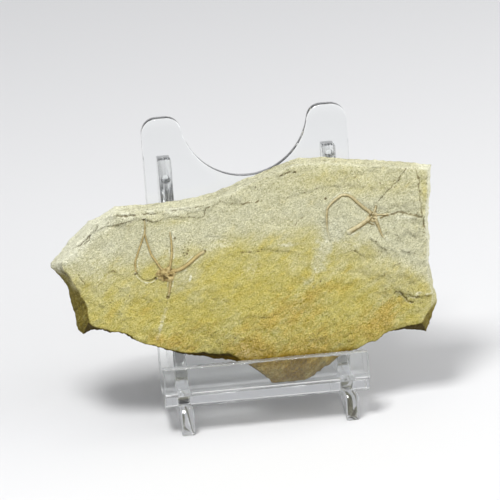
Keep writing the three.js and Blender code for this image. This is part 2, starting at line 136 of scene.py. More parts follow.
# Edges of paper-thin beds. The ground to the left of each line, in its own direction, stands higher by
# rise, and sinks back to the common level over fade. The step dies away over the shares of the line's
# length that taper gives for its two ends.
BED_EDGES = [
    dict(line=[(-64, 45), (-53, 48.5), (-48.1, 52.3), (-44.7, 53), (-40.9, 53.8), (-37.4, 54.7),
               (-34.1, 54.9), (-32, 54.2), (-29.5, 53.8), (-26.9, 54.2), (-24.6, 54.7), (-20.9, 53.9),
               (-15.6, 53.6), (-14.6, 56.3), (-10.1, 58), (-7.2, 57), (-4.9, 56.6), (1.1, 56.9), (6.4, 57.3)],
         rise=0.4, fade=30, taper=(0.3, 0.35)),
    dict(line=[(6.4, 57.3), (12.5, 57.5), (19, 59.2), (23.9, 59.7), (27.7, 59.2), (30.7, 59.4), (35.2, 58.1),
               (40.4, 56.7)], rise=0.31, fade=6, taper=(0.1, 0.3)),
    dict(line=[(52, 39.1), (51.6, 41.2), (51, 44.4), (50.5, 46.8), (50.1, 49.6), (50, 52.1), (50, 55.1),
               (49.8, 59), (49.2, 63), (48.4, 66)], rise=0.4, fade=30, taper=(0.3, 0)),
    dict(line=[(50, 47.7), (48.3, 48.2), (46.8, 48.6), (44.9, 49.4), (42.6, 49.7), (41, 49.6)], rise=0.5,
         fade=6, taper=(0, 0.15)),
    dict(line=[(53.5, 23.2), (50.1, 23.2), (47.9, 23.1), (45.8, 23.1), (44.2, 23.9), (42.7, 25), (40.9, 25.4),
               (39.6, 24.3), (38.6, 22)], rise=-0.7, fade=9, taper=(0, 0.35)),
    dict(line=[(46.2, 21.2), (44.9, 21.5), (43.2, 23.9), (42.5, 25)], rise=-0.45, fade=3, taper=(0.1, 0.2)),
    dict(line=[(13.6, 38.8), (13.1, 39.7), (8.3, 40.7), (3.8, 41.7), (0.8, 42), (-3.7, 41.8), (-8.3, 41.7),
               (-12.8, 41.3)], rise=-0.36, fade=6, taper=(0.1, 0.5)),
    dict(line=[(-50.5, 30), (-49.2, 33.9), (-48.3, 35.8), (-46.2, 37.8), (-44.5, 39.1), (-41.6, 39)],
         rise=0.22, fade=4, taper=(0.4, 0.1)),
    dict(line=[(33.7, 43.2), (34.6, 42.3), (35.1, 41.6), (35.9, 41.3), (36.4, 40.4), (37.3, 39.4),
               (38.4, 39), (39.4, 38.5)], rise=0.5, fade=2.5, taper=(0.1, 0.2)),
    dict(line=[(45.3, 43.3), (46.2, 42.9), (47, 42.4), (47.5, 41.7)], rise=0.55, fade=2, taper=(0.15, 0.15)),
    dict(line=[(41.4, 43.6), (42.6, 42.8), (43.4, 41.7)], rise=0.55, fade=1.5, taper=(0.15, 0.15)),
    dict(line=[(43.5, 38.7), (44.2, 37.9), (45.3, 37.7), (46.5, 37.4)], rise=0.5, fade=2, taper=(0.15, 0.15)),
    dict(line=[(42.6, 56.4), (43.3, 55.4), (44.5, 55.4)], rise=0.3, fade=1.5, taper=(0.3, 0.3)),
    dict(line=[(42.8, 34.4), (40.8, 33.2), (39.6, 32)], rise=-0.35, fade=2, taper=(0.3, 0.3)),
    dict(line=[(27.5, 40.2), (28.4, 39.4), (29.5, 39), (30.6, 38.2), (32.9, 37)], rise=0.42, fade=3,
         taper=(0.2, 0.2)),
    dict(line=[(-18.6, 44.4), (-17, 46), (-15.8, 47.4), (-14.6, 47.7), (-11.6, 47.4), (-8.3, 47.1)],
         rise=0.3, fade=3, taper=(0.3, 0.4)),
    dict(line=[(-6.4, 43.8), (-7.6, 45.6), (-10, 47.6)], rise=-0.3, fade=2.5, taper=(0.4, 0.4)),
    dict(line=[(-36, 24), (-30, 22.6), (-26, 23.4)], rise=0.22, fade=4, taper=(0.4, 0.4)),
    dict(line=[(20, 22), (26, 25), (31, 24.5), (35, 26)], rise=0.28, fade=6, taper=(0.4, 0.4)),
    dict(line=[(-12, 20), (-5, 22), (2, 21), (8, 23)], rise=0.28, fade=6, taper=(0.4, 0.4)),
    dict(line=[(-22, 27), (-15, 28.5), (-9, 27.5)], rise=0.2, fade=5, taper=(0.4, 0.4)),
    dict(line=[(12, 28), (17, 31), (24, 35)], rise=-0.25, fade=4, taper=(0.3, 0.4)),
    dict(line=[(2, 12), (9, 13.5), (16, 12)], rise=0.25, fade=4, taper=(0.4, 0.4)),
    dict(line=[(13.6, 39.4), (13.9, 36), (14.5, 33), (15, 31)], rise=-0.2, fade=3, taper=(0.1, 0.3)),
    dict(line=[(14.2, 29.9), (17.8, 33.3), (20.5, 36.7), (22.5, 39.6), (25.6, 41.5), (29.4, 43.3)],
         rise=-0.25, fade=3, taper=(0.2, 0.3)),
]

# Cracks and worn grooves: width and depth. A negative depth is a thin raised vein.
CRACKS = [
    dict(line=[(-41.7, 56.3), (-37.2, 56), (-32.7, 56), (-29, 56.2)], width=0.4, depth=0.5),
    dict(line=[(-27.5, 56.3), (-23, 56.4), (-18, 56.8), (-12, 57.9)], width=0.35, depth=0.18),
    dict(line=[(8.4, 64.1), (11, 64.5), (13.3, 64.9)], width=0.4, depth=0.5),
    dict(line=[(37.2, 53.6), (39.6, 56), (41.9, 57.9), (44.1, 60.2), (46.7, 63), (48.2, 64.4)], width=0.32,
         depth=0.3),
    dict(line=[(40.8, 49.6), (42.6, 49.8), (44.9, 49.5), (46.8, 48.7), (48.3, 48.3), (50, 47.8)], width=0.56,
         depth=0.3),
    dict(line=[(51, 44.4), (50.4, 47.5), (50.1, 50), (50, 55), (49.8, 59), (48.9, 64)], width=0.36,
         depth=0.24),
    dict(line=[(40.9, 25.5), (42.5, 25.1), (43.2, 24), (44.9, 21.6), (46.2, 21.3)], width=0.4, depth=0.5),
    dict(line=[(42.7, 25.1), (45.8, 23.2), (47.9, 23.2)], width=0.3, depth=0.35),
    dict(line=[(-45, 39), (-44, 39.3), (-41.4, 39.1)], width=0.35, depth=0.2),
    dict(line=[(11.9, 48.7), (13.1, 50), (14.7, 51.1)], width=0.3, depth=0.22),
    dict(line=[(-27.9, 29.5), (-28.8, 26.2), (-30.2, 22.5), (-31.7, 18.9)], width=0.5, depth=0.12),
    dict(line=[(-47.4, 54), (-48, 52.2), (-48.9, 51.6), (-50.3, 49.6), (-51.6, 48.3)], width=0.3, depth=0.24),
    dict(line=[(-53.9, 39.3), (-53, 37.5), (-52.1, 35.5)], width=0.3, depth=0.25),
    dict(line=[(6, 8), (9, 5.6), (11.5, 3.2)], width=0.3, depth=0.3),
    dict(line=[(38.4, 42.1), (39.6, 40.6)], width=0.3, depth=-0.12),
    dict(line=[(30, 61.5), (34.5, 62.3), (38, 62)], width=0.35, depth=0.16),
]

# Small dark pits: place and radius.
PITS = [
    (-24.5, 47.9, 0.32), (-21.2, 42.9, 0.34), (21.6, 55.9, 0.4), (18.4, 30.6, 0.3), (-19.9, 47, 0.22),
    (-31, 35.9, 0.42), (-27.9, 30, 0.5), (-41.1, 53.5, 0.25), (-33.3, 54.5, 0.3), (-20.8, 43.8, 0.25),
    (-22.2, 43.2, 0.22), (34.9, 49.6, 0.35), (35.8, 48.4, 0.28), (-37.1, 37.9, 0.3), (-15.7, 43.1, 0.25),
    (-21.6, 45, 0.2), (-22.3, 44.2, 0.2), (-22, 42.3, 0.22), (-21.8, 41.6, 0.18), (-30.2, 40.4, 0.2),
]

# Patches of dark specks: centre, and radii across and up.
SPECK_PATCHES = [
    ((-42, 53.4), 6, 2.5), ((-20.5, 45), 3.2, 3), ((-50, 51), 3.5, 4), ((2, 60.5), 9, 3), ((28, 62), 9, 3),
    ((-14, 15), 14, 5), ((20, 16), 18, 7), ((46, 24), 5, 4), ((-44, 30), 8, 8),
]

# ---------------------------------------------------------------- the brittle stars

# Arms are centre lines on the bedding face, from the disc outwards, with widths at their two ends.
# A mould is the empty groove of an arm that has broken away, and struts are thin plates of an open disc.
# Each star says how far the painted highlight keeps to the flank that faces the light, up the slab, leaving
# painted shade on the lower flank, and how dark the painted shadow in the groove beside an arm is where it is
# darkest.
LEFT_STAR = dict(
    disc=dict(centre=(-27.9, 36.9), radii=(3.1, 2.4), turn=0.1, height=0.8, seed=11),
    lit_flank_share=0.45,
    outline=0.32,
    arms=[
        dict(line=[(-28.2, 37.4), (-28.8, 38.4), (-29.8, 39.9), (-30.8, 41.7), (-31.8, 43.4), (-32.4, 45.6),
                   (-32.9, 47.5), (-33.2, 49.4), (-33.3, 50.4), (-33.1, 52.3), (-33.1, 54.3)],
             widths=(0.78, 0.38), rise=0.38),
        dict(line=[(-36.7, 38.4), (-36.9, 39), (-36.9, 40.4), (-36.8, 41.8), (-36.1, 43.6), (-35.2, 45.8),
                   (-34.4, 47.7), (-33.7, 49.5), (-33.3, 50.6)], widths=(0.52, 0.5), rise=0.32),
        dict(line=[(-27.3, 37.6), (-26.7, 38.9), (-26.1, 41.5), (-25.7, 43.5), (-25.6, 45.4), (-25.6, 47.3),
                   (-25.8, 50.1)], widths=(0.8, 0.45), rise=0.38),
        dict(line=[(-26.4, 37.9), (-24.7, 38.1), (-22.8, 38.7), (-20.9, 39.9), (-19.1, 41.2), (-17.4, 42.4),
                   (-15.9, 43)], widths=(1.15, 0.95), rise=0.48),
        dict(line=[(-27.1, 36.6), (-26.8, 35.6), (-26.8, 34.2), (-27.1, 32.6), (-27.6, 30.7), (-27.8, 30.3)],
             widths=(0.72, 0.55), rise=0.4),
    ],
    moulds=[dict(line=[(-36.7, 38.3), (-36.2, 37.2), (-35, 36), (-33.6, 35.5), (-32.2, 35.6), (-31, 36.3)],
                 width=0.52, depth=0.35)],
    struts=[],
)
RIGHT_STAR = dict(
    disc=dict(centre=(35.3, 48.9), radii=(1.6, 1.7), turn=-0.6, height=0.24, seed=23),
    lit_flank_share=0.7,
    outline=0.16,
    arms=[
        dict(line=[(35, 49.9), (34.5, 50.7), (33, 52), (31.3, 53.7), (29.5, 55.6), (28, 56.4), (26.4, 56.5),
                   (24.7, 55.5), (23.2, 54.3), (22.1, 53), (21.7, 51.6), (21.5, 49.4), (21.5, 47.5),
                   (21.6, 45.3), (22.1, 43)], widths=(1.2, 0.4), rise=0.4),
        dict(line=[(34.4, 48.6), (33.7, 48.1), (32.2, 47.2), (30.5, 46.3), (28.9, 45.5), (27.3, 44.8)],
             widths=(1.35, 1.5), rise=0.46),
        dict(line=[(35.7, 48.5), (36.3, 47.6), (36.8, 46.4), (37.3, 44.7), (37.9, 43), (38.7, 42)],
             widths=(1.2, 0.4), rise=0.38),
        dict(line=[(35.9, 50.3), (36.4, 50), (37.1, 49.5), (39.1, 49.4), (40.9, 49.5)], widths=(0.55, 0.5),
             rise=0.24),
        dict(line=[(35.4, 49.8), (36, 50.6), (36.5, 51.8), (36.7, 53)], widths=(0.9, 0.5), rise=0.26),
    ],
    moulds=[],
    struts=[[(34.2, 49.2), (35.1, 50.2), (36.1, 50.5)], [(35, 49), (35.9, 48.1), (36.5, 46.7)],
            [(33.8, 47.9), (34.8, 48.6), (35.2, 49.4)], [(33.9, 47.7), (35, 46.8), (36, 46.7)],
            [(37.5, 48.4), (38.9, 48.9), (40.8, 49.1)]],
)
STARS = [LEFT_STAR, RIGHT_STAR]
SEGMENT = 0.62  # length of one arm segment
FOSSIL_SINK = 0.12  # how far a fossil's middle plane lies below the bed
STRUT_WIDTHS = (0.5, 0.42)
STRUT_RISE = 0.26

# ---------------------------------------------------------------- fields on the plane


def smooth(x, start, end):
    """Eased step: 0 at start, 1 at end, with the cubic 3t^2 - 2t^3 between."""
    t = np.clip((np.asarray(x, dtype=float) - start) / (end - start), 0, 1)
    return t * t * (3 - 2 * t)


def bell(x, middle, width):
    """A Gaussian: 1 where x is at the middle, and 1/e at width from it."""
    return np.exp(-(((x - middle) / width) ** 2))


def ends_fade(place, reach=0.05):
    """1 along a line, easing to 0 at both of its ends."""
    return smooth(place * (1 - place), 0, reach)


def lattice(i, j, seed):
    """A fixed random value from -1 to 1 for each whole-number cell: its indices are multiplied by large odd
    numbers, mixed by shifts, and the low bits kept."""
    h = (i.astype(np.int64) * 374761393 + j.astype(np.int64) * 668265263 + seed * 974634777) & 0xFFFFFFFF
    h = ((h ^ (h >> 13)) * 1274126177) & 0xFFFFFFFF
    h = h ^ (h >> 16)
    return (h & 0xFFFF) / 32767.5 - 1


def noise(x, y, seed):
    """Value noise: the random values at a cell's four corners, blended by quintic easing."""
    x, y = np.broadcast_arrays(np.asarray(x, dtype=float), np.asarray(y, dtype=float))
    i, j = np.floor(x), np.floor(y)
    fx, fy = x - i, y - j
    fx = fx**3 * (fx * (fx * 6 - 15) + 10)
    fy = fy**3 * (fy * (fy * 6 - 15) + 10)
    low = lattice(i, j, seed) * (1 - fx) + lattice(i + 1, j, seed) * fx
    high = lattice(i, j + 1, seed) * (1 - fx) + lattice(i + 1, j + 1, seed) * fx
    return low * (1 - fy) + high * fy


def rough(x, y, seed, octaves=4, gain=0.5):
    """Fractal noise: octaves of value noise, each turned, twice as fine and gain times as high."""
    total = np.zeros(np.broadcast(x, y).shape)
    size = 1.0
    turn = 0.7
    for octave in range(octaves):
        total = total + size * noise(x, y, seed + 101 * octave)
        x, y = 2 * (x * math.cos(turn) - y * math.sin(turn)), 2 * (x * math.sin(turn) + y * math.cos(turn))
        size *= gain
    return total


def to_line(line, u, v):
    """Distance from each point to a line of points, which side of it the point is on (1 for the left), and
    how far along the line its nearest point lies, from 0 to 1: the nearest over the line's segments."""
    best = np.full(np.shape(u), 1e9)
    side = np.ones(np.shape(u))
    place = np.zeros(np.shape(u))
    ends = np.array(line, dtype=float)
    lengths = np.hypot(*(ends[1:] - ends[:-1]).T)
    starts = np.concatenate([[0], np.cumsum(lengths)])
    for (a, b, length, start) in zip(ends[:-1], ends[1:], lengths, starts):
        du, dv = (b - a) / length
        along = np.clip((u - a[0]) * du + (v - a[1]) * dv, 0, length)
        away = np.hypot(u - a[0] - along * du, v - a[1] - along * dv)
        nearer = away < best
        best = np.where(nearer, away, best)
        across = (v - a[1]) * du - (u - a[0]) * dv
        side = np.where(nearer, np.sign(across), side)
        place = np.where(nearer, (start + along) / starts[-1], place)
    return best, side, place


def blob(u, v, centre, radius_u, radius_v=None, turn=0.0):
    """A soft oval patch: 1 in the middle, falling as a Gaussian of the stated radii, turned by turn."""
    radius_v = radius_v or radius_u
    du, dv = u - centre[0], v - centre[1]
    x = du * math.cos(turn) + dv * math.sin(turn)
    y = -du * math.sin(turn) + dv * math.cos(turn)
    return np.exp(-((x / radius_u) ** 2) - (y / radius_v) ** 2)


def wandering(u, v):
    """Places shifted by fractal noise, so that a line drawn through them is ragged."""
    return (
        u + 0.3 * rough(u / 1.9, v / 1.9, 5, 4, 0.6),
        v + 0.3 * rough(u / 1.9, v / 1.9, 9, 4, 0.6),
    )


def flakes(u, v):
    """Paper-thin flakes: fractal noise cut into whole steps, each eased over its last fifth. Returns the
    height in steps, how close each point is to a step's edge, and how flaky the place is."""
    field = 2.4 * rough(u / 5.5, v / 4.5, 83, 4)
    rest = field - np.floor(field)
    eased = smooth(rest, 0.8, 1.0)
    right_end = smooth(u, 28, 38) * smooth(v, 20, 30)
    upper_left = smooth(v, 51, 56) * smooth(u, 6, -4)
    flaky = 0.3 + 0.7 * np.maximum(right_end, upper_left)
    return np.floor(field) + eased, 4 * eased * (1 - eased), flaky


def bed_height(u, v):
    """Height of the bedding face over its mean plane, without the fossils: slow waves, bed edges that step
    up and fade away, flakes, cracks, pits, and fractal roughness."""
    wu, wv = wandering(u, v)
    height = 0.28 * np.sin(u / 9.5 + 0.6) * np.cos(v / 11 - 0.4)
    height = height + 0.16 * np.sin(u / 4.7 + v / 6.1) + 0.22 * np.sin(v / 17 - u / 31)
    for edge in BED_EDGES:
        away, side, place = to_line(edge["line"], wu, wv)
        step = smooth(away * side, -STEP_SOFT, STEP_SOFT)
        first, last = edge["taper"]
        reach = smooth(place, 0, max(first, 1e-6)) * smooth(1 - place, 0, max(last, 1e-6))
        height = height + edge["rise"] * reach * step * np.exp(-away / edge["fade"])
    for crack in CRACKS:
        away, _, place = to_line(crack["line"], wu, wv)
        cut = bell(away, 0, crack["width"] / 2) * ends_fade(place, 0.06)
        height = height - crack["depth"] * cut
    for (pu, pv, radius) in PITS:
        height = height - PIT_DEPTH * blob(u, v, (pu, pv), radius)
    level, _, flaky = flakes(u, v)
    height = height + FLAKE_STEP * flaky * level
    coarse = 0.75 + 0.5 * smooth(v, 44, 26)
    height = height + 0.22 * coarse * rough(u / 4.2, v / 4.2, 31, 3)
    return height + coarse * (0.13 * rough(u / 1.5, v / 1.5, 57, 2) + 0.08 * rough(u / 0.7, v / 0.7, 47, 2))


def beyond_arm(arm, u, v):
    """How far each point lies beyond an arm's edge: its distance from the centre line, less half the width
    there. Negative under the arm."""
    away, _, place = to_line(arm["line"], u, v)
    half = (arm["widths"][0] + (arm["widths"][1] - arm["widths"][0]) * place) / 2
    return away - half


def star_bed(u, v, star):
    """Depth of the shallow moat that runs round a star, and of the empty moulds of its lost arms, with
    the low bank that the mud made beside them."""
    depth = np.zeros(np.shape(u))
    for arm in star["arms"]:
        beyond = beyond_arm(arm, u, v)
        moat = bell(beyond, 0, MOAT_WIDTH) + (beyond < 0)
        depth = np.maximum(depth, MOAT_DEPTH * np.minimum(moat, 1))
        depth = depth - 0.05 * bell(beyond, 0.55, 0.25)
    for mould in star["moulds"]:
        away, side, _ = to_line(mould["line"], u, v)
        half = mould["width"] / 2
        depth = depth + mould["depth"] * np.exp(-((away / half) ** 4))
        depth = depth - 0.26 * bell(away - half, 0.2, 0.24) * (side < 0)
    disc = star["disc"]
    radii = [1.3 * radius for radius in disc["radii"]]
    return depth + 0.1 * blob(u, v, disc["centre"], *radii, disc["turn"])


def face_height(u, v):
    """Height of the bedding face over its mean plane: the bed, less the beds of the two stars."""
    height = bed_height(u, v)
    for star in STARS:
        height = height - star_bed(u, v, star)
    return height


# ---------------------------------------------------------------- from the plane to the frame

PLATE_LOW, PLATE_HIGH = (np.array(corner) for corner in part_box("easel_plate"))
LEG_HIGH = np.array(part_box("easel_leg_left")[1])
SHIFT_X = (PLATE_LOW[0] + PLATE_HIGH[0]) / 2
SHIFT_Y = LEG_HIGH[1] - LEG_REAR_Y * MM


def to_frame(u, v, n):
    """Places of points given as u, v and n in millimetres: the plane leans back by LEAN about the ledge's
    inner corner."""
    u, v, n = (np.asarray(a, dtype=float) for a in np.broadcast_arrays(u, v, n))
    x = u * MM + SHIFT_X
    y = (v * math.sin(LEAN) - n * math.cos(LEAN)) * MM + SHIFT_Y
    z = (LEDGE_LIFT + v * math.cos(LEAN) + n * math.sin(LEAN)) * MM
    return np.stack([x, y, z], axis=-1)


# ---------------------------------------------------------------- mesh helpers


def unit(vectors):
    """Vectors divided by their own lengths."""
    return vectors / np.linalg.norm(vectors, axis=-1, keepdims=True)


def make_piece(name, places, faces, fields=None):
    """A smooth-shaded mesh object from an array of places and a list of face arrays, each of one number of
    corners, with named float fields on its points."""
    mesh = bpy.data.meshes.new(name)
    places = np.asarray(places, dtype=np.float32).reshape(-1, 3)
    faces = [np.asarray(part, dtype=np.int32) for part in faces]
    corners = np.concatenate([part.ravel() for part in faces])
    counts = np.concatenate([np.full(len(part), part.shape[1]) for part in faces])
    starts = np.concatenate([[0], np.cumsum(counts)[:-1]]).astype(np.int32)
    mesh.vertices.add(len(places))
    mesh.vertices.foreach_set("co", places.ravel())
    mesh.loops.add(len(corners))
    mesh.loops.foreach_set("vertex_index", corners)
    mesh.polygons.add(len(counts))
    mesh.polygons.foreach_set("loop_start", starts)
    mesh.update(calc_edges=True)
    mesh.validate()
    mesh.polygons.foreach_set("use_smooth", np.full(len(mesh.polygons), True))
    for field, values in (fields or {}).items():
        layer = mesh.attributes.new(field, "FLOAT", "POINT")
        layer.data.foreach_set("value", np.asarray(values, dtype=np.float32).ravel())
    piece = bpy.data.objects.new(name, mesh)
    bpy.context.collection.objects.link(piece)
    return piece


def grid_faces(rows, columns, first=0, wrap=False, flip=False):
    """Four-cornered faces of a grid of points laid out row by row, numbered from first; wrap joins the last
    column to the first, and flip turns the faces over."""
    across = columns if wrap else columns - 1
    j, i = np.meshgrid(np.arange(rows - 1), np.arange(across), indexing="ij")
    a = first + j * columns + i
    b = first + j * columns + (i + 1) % columns
    quads = np.stack([a, b, b + columns, a + columns], axis=-1).reshape(-1, 4)
    return quads[:, ::-1] if flip else quads


def band(near, far):
    """Four-cornered faces between two closed rings of point numbers."""
    return np.stack([near, np.roll(near, -1), np.roll(far, -1), far], axis=-1)


def resample(line, count):
    """count + 1 points at even distances along a line of points."""
    points = np.array(line, dtype=float)
    lengths = np.concatenate([[0], np.cumsum(np.hypot(*(points[1:] - points[:-1]).T))])
    wanted = np.linspace(0, lengths[-1], count + 1)
    return np.stack([np.interp(wanted, lengths, points[:, axis]) for axis in (0, 1)], axis=-1)


def curve_through(line, spacing):
    """Points about spacing apart on the Catmull-Rom curve through a line of points, and its length: on each
    stretch the cubic whose slope at a point is half the step between its neighbours."""
    points = np.array(line, dtype=float)
    padded = np.vstack([2 * points[0] - points[1], points, 2 * points[-1] - points[-2]])
    t = np.linspace(0, 1, 24, endpoint=False)[:, None]
    parts = []
    for k in range(len(points) - 1):
        p0, p1, p2, p3 = padded[k : k + 4]
        cubic = 2 * p1 + (p2 - p0) * t + (2 * p0 - 5 * p1 + 4 * p2 - p3) * t**2
        parts.append(0.5 * (cubic + (3 * p1 - p0 - 3 * p2 + p3) * t**3))
    dense = np.vstack(parts + [points[-1:]])
    length = np.hypot(*(dense[1:] - dense[:-1]).T).sum()
    return resample(dense, max(4, round(length / spacing))), length


# ---------------------------------------------------------------- the slab

ACROSS = 384
UPWARDS = 144
# Depth, from the face, of the joints between beds in the broken edge.
BEDS = [0, 0.7, 1.5, 2.1, 3.2, 4.0, 5.3, 6.1, 7.4, 8.6, 9.9]
SEAM = 0.09  # half the height of a joint between beds


def rim(outline, seed, jag):
    """A closed ring of rim points with the grid's own numbers on each side, pushed in and out along its
    normal by fractal noise of the distance round it."""
    sides = [
        resample(outline["bottom"], ACROSS)[:-1],
        resample(outline["right"], UPWARDS)[:-1],
        resample(outline["top"], ACROSS)[:-1],
        resample(outline["left"], UPWARDS)[:-1],
    ]
    ring = np.vstack(sides)
    around = np.concatenate([[0], np.cumsum(np.hypot(*(np.roll(ring, -1, 0) - ring).T))[:-1]])
    push = jag * (rough(around / 2.6, 0, seed, 3) + 0.35 * rough(around / 0.6, 0, seed + 7, 2))
    return ring + ring_normals(ring) * push[:, None], around


def ring_normals(ring):
    """Unit normals that point out of an anticlockwise ring, from the step between neighbours two apart."""
    step = np.roll(ring, -2, 0) - np.roll(ring, 2, 0)
    return unit(np.stack([step[:, 1], -step[:, 0]], axis=-1))


def patch(ring, across, upwards):
    """A Coons patch: each grid point is the blend of its two rows plus the blend of its two columns, less
    the blend of the four corners."""
    bottom = ring[: across + 1]
    right = ring[across : across + upwards + 1]
    top = ring[across + upwards : 2 * across + upwards + 1][::-1]
    left = np.vstack([ring[2 * across + upwards :], ring[:1]])[::-1]
    s = np.linspace(0, 1, across + 1)[None, :, None]
    t = np.linspace(0, 1, upwards + 1)[:, None, None]
    rows = (1 - t) * bottom[None] + t * top[None]
    columns = (1 - s) * left[:, None] + s * right[:, None]
    corners = (1 - t) * ((1 - s) * bottom[0] + s * bottom[-1]) + t * ((1 - s) * top[0] + s * top[-1])
    return rows + columns - corners


def rim_indices(across, upwards, first=0):
    """Numbers of a grid's edge points, anticlockwise from its lower left corner."""
    width = across + 1
    bottom = np.arange(across)
    right = np.arange(upwards) * width + across
    top = upwards * width + np.arange(across, 0, -1)
    left = np.arange(upwards, 0, -1) * width
    return first + np.concatenate([bottom, right, top, left])


def rim_distance(grid):
    """Distance of each grid point from the rim, along the grid's own lines: the least of its distances from
    the two ends of its row and of its column."""
    ends = [grid[:1], grid[-1:], grid[:, :1], grid[:, -1:]]
    return np.min([np.linalg.norm(grid - end, axis=-1) for end in ends], axis=0)


def back_hollow(u, v):
    """Depth of the hollows in the rough back: slow waves and terraces, always into the stone."""
    waves = 0.45 * (1 + 0.67 * np.sin(u / 8 + 1.1) * np.sin(v / 7) + 0.33 * np.cos(u / 3.9 - v / 5.2))
    field = rough(u / 9, v / 9, 71, 4) * 3
    terraces = np.floor(field) + smooth(field - np.floor(field), 0.8, 1)
    return np.maximum(waves + 0.16 * terraces + 0.08 * rough(u / 1.2, v / 1.2, 77, 3), 0.05)


# ---------------------------------------------------------------- the slab's tints

STAIN_TOP = [  # where the yellow stain is half strong, from left to right
    (-64, 38), (-56.8, 39.5), (-50.9, 38.5), (-44.7, 39.5), (-38.7, 38.4), (-32.4, 41.3), (-26.3, 42),
    (-20.4, 40.3), (-14.3, 40.3), (-8.1, 42.8), (-2, 45.3), (4, 45.2), (9.9, 44.8), (15.8, 43.8),
    (21.8, 41.5), (28, 41), (34, 38.9), (39.8, 34.6), (45.5, 29.1), (50, 26.5), (60, 24),
]
# Patches of tint: centre, radii across and up, turn, and weight.
YELLOW_PATCHES = [
    ((21, 62.5), 12, 2.6, 0.1, 0.2), ((36, 57.5), 8, 2.5, 0, 0.15), ((-26, 53), 9, 1.4, 0, 0.2),
    ((-19.5, 44.6), 3, 2, 0, 0.25), ((51.4, 55), 1.3, 9, 0, 0.35), ((-32, 38), 3, 2.5, 0, 0.2),
    ((-9, 36), 8, 8, 0, 0.25), ((21, 46), 5, 4, 0, -0.1), ((-21.8, 36), 4.5, 4, 0, -0.3),
    ((-24, 40.5), 1.8, 1.6, 0, 0.2), ((38, 33), 9, 7, 0, -0.25),
]
# The last rust patch, low in the middle, is rust and painted shade where the acrylic lip shades the stone.
RUST_PATCHES = [
    ((15, 26), 9, 6.5, 0.5, 0.48), ((4, 20), 12, 6, 0.3, 0.6), ((26, 33), 6, 4, 0.6, 0.12),
    ((38, 22), 6, 5, 0.5, 0.4), ((-36, 27), 8, 4, 0, 0.2), ((-28, 15.5), 10, 2.6, -0.35, 0.65),
    ((-20, 18), 11, 4, -0.2, 0.4), ((-4, 10), 9, 6, -0.4, 0.9), ((14, 10), 10, 6, 0.2, 0.8),
    ((35, 16), 9, 5, 0.3, 0.85), ((-47, 25), 3, 5, 0, 0.3), ((6, 2), 13, 6, 0, 1.2),
]
PALE_PATCHES = [
    ((-30.3, 22.2), 0.8, 6.5, -0.35, 0.55), ((-12.5, 47), 4, 0.9, -0.15, 0.35),
    ((48, 24.2), 2.4, 0.8, 0, 0.6), ((-20.75, 35.4), 0.34, 0.9, -0.27, 1.7),
    ((-8, 22), 9, 6, 0, 0.15), ((45.6, 48.1), 4, 0.7, -0.12, 0.7),
    ((-10, 44.4), 3.5, 1.3, 0, 0.45), ((9, 42.8), 5, 0.8, 0, 0.5), ((41, 46), 3, 2, 0, 0.45),
    ((-5, 10), 6, 4, 0, 0.3), ((28, 40.5), 5, 2, 0, 0.35), ((-2, 36), 5, 3.5, 0.4, 0.35),
    ((10, 37), 4, 4, 0, 0.3), ((-44, 47), 9, 4, 0.6, 0.4), ((-40, 56), 9, 2, 0, 0.5),
    ((-12, 52), 8, 5, 0, 0.3), ((-46, 37), 6, 4, 0, 0.3),
]
PALE_VEE = [(24.2, 47.5), (22.4, 44), (19.9, 39.5), (17.2, 34.6), (14.9, 30.6)]  # from its mouth to its tip
PALE_RING = dict(centre=(20.6, 42.6), radius=1.3)  # of stain, inside the vee


def soft_patches(table, u, v):
    """The sum of a table's soft patches, each by its weight."""
    return sum(weight * blob(u, v, *patch) for (*patch, weight) in table)


def bare_vee(u, v):
    """How bare of stain the vee is: 1 within a ragged width of its centre line, which narrows to its tip."""
    away, _, place = to_line(PALE_VEE, u, v)
    ragged = 2.9 - 1.8 * place + 1.3 * rough(u / 1.8, v / 1.8, 8, 4)
    return smooth(ragged - away, -0.9, 1.1)


def yellow_stain(u, v):
    """Yellow, from 0 to 1: stronger the further below a wavering line, with soft patches added, and weaker in
    the bare vee."""
    below = np.interp(u, *np.array(STAIN_TOP).T) - v + 1.8 * rough(u / 9, v / 9, 3, 4)
    yellow = 0.1 + 0.55 * smooth(below, -7.5, 2.5) + 0.4 * smooth(below, 0, 22)
    yellow = yellow + soft_patches(YELLOW_PATCHES, u, v) + 0.12 * smooth(v, 52, 60) * smooth(u, -10, 20)
    return np.clip(yellow - 0.38 * bare_vee(u, v), 0, 1)


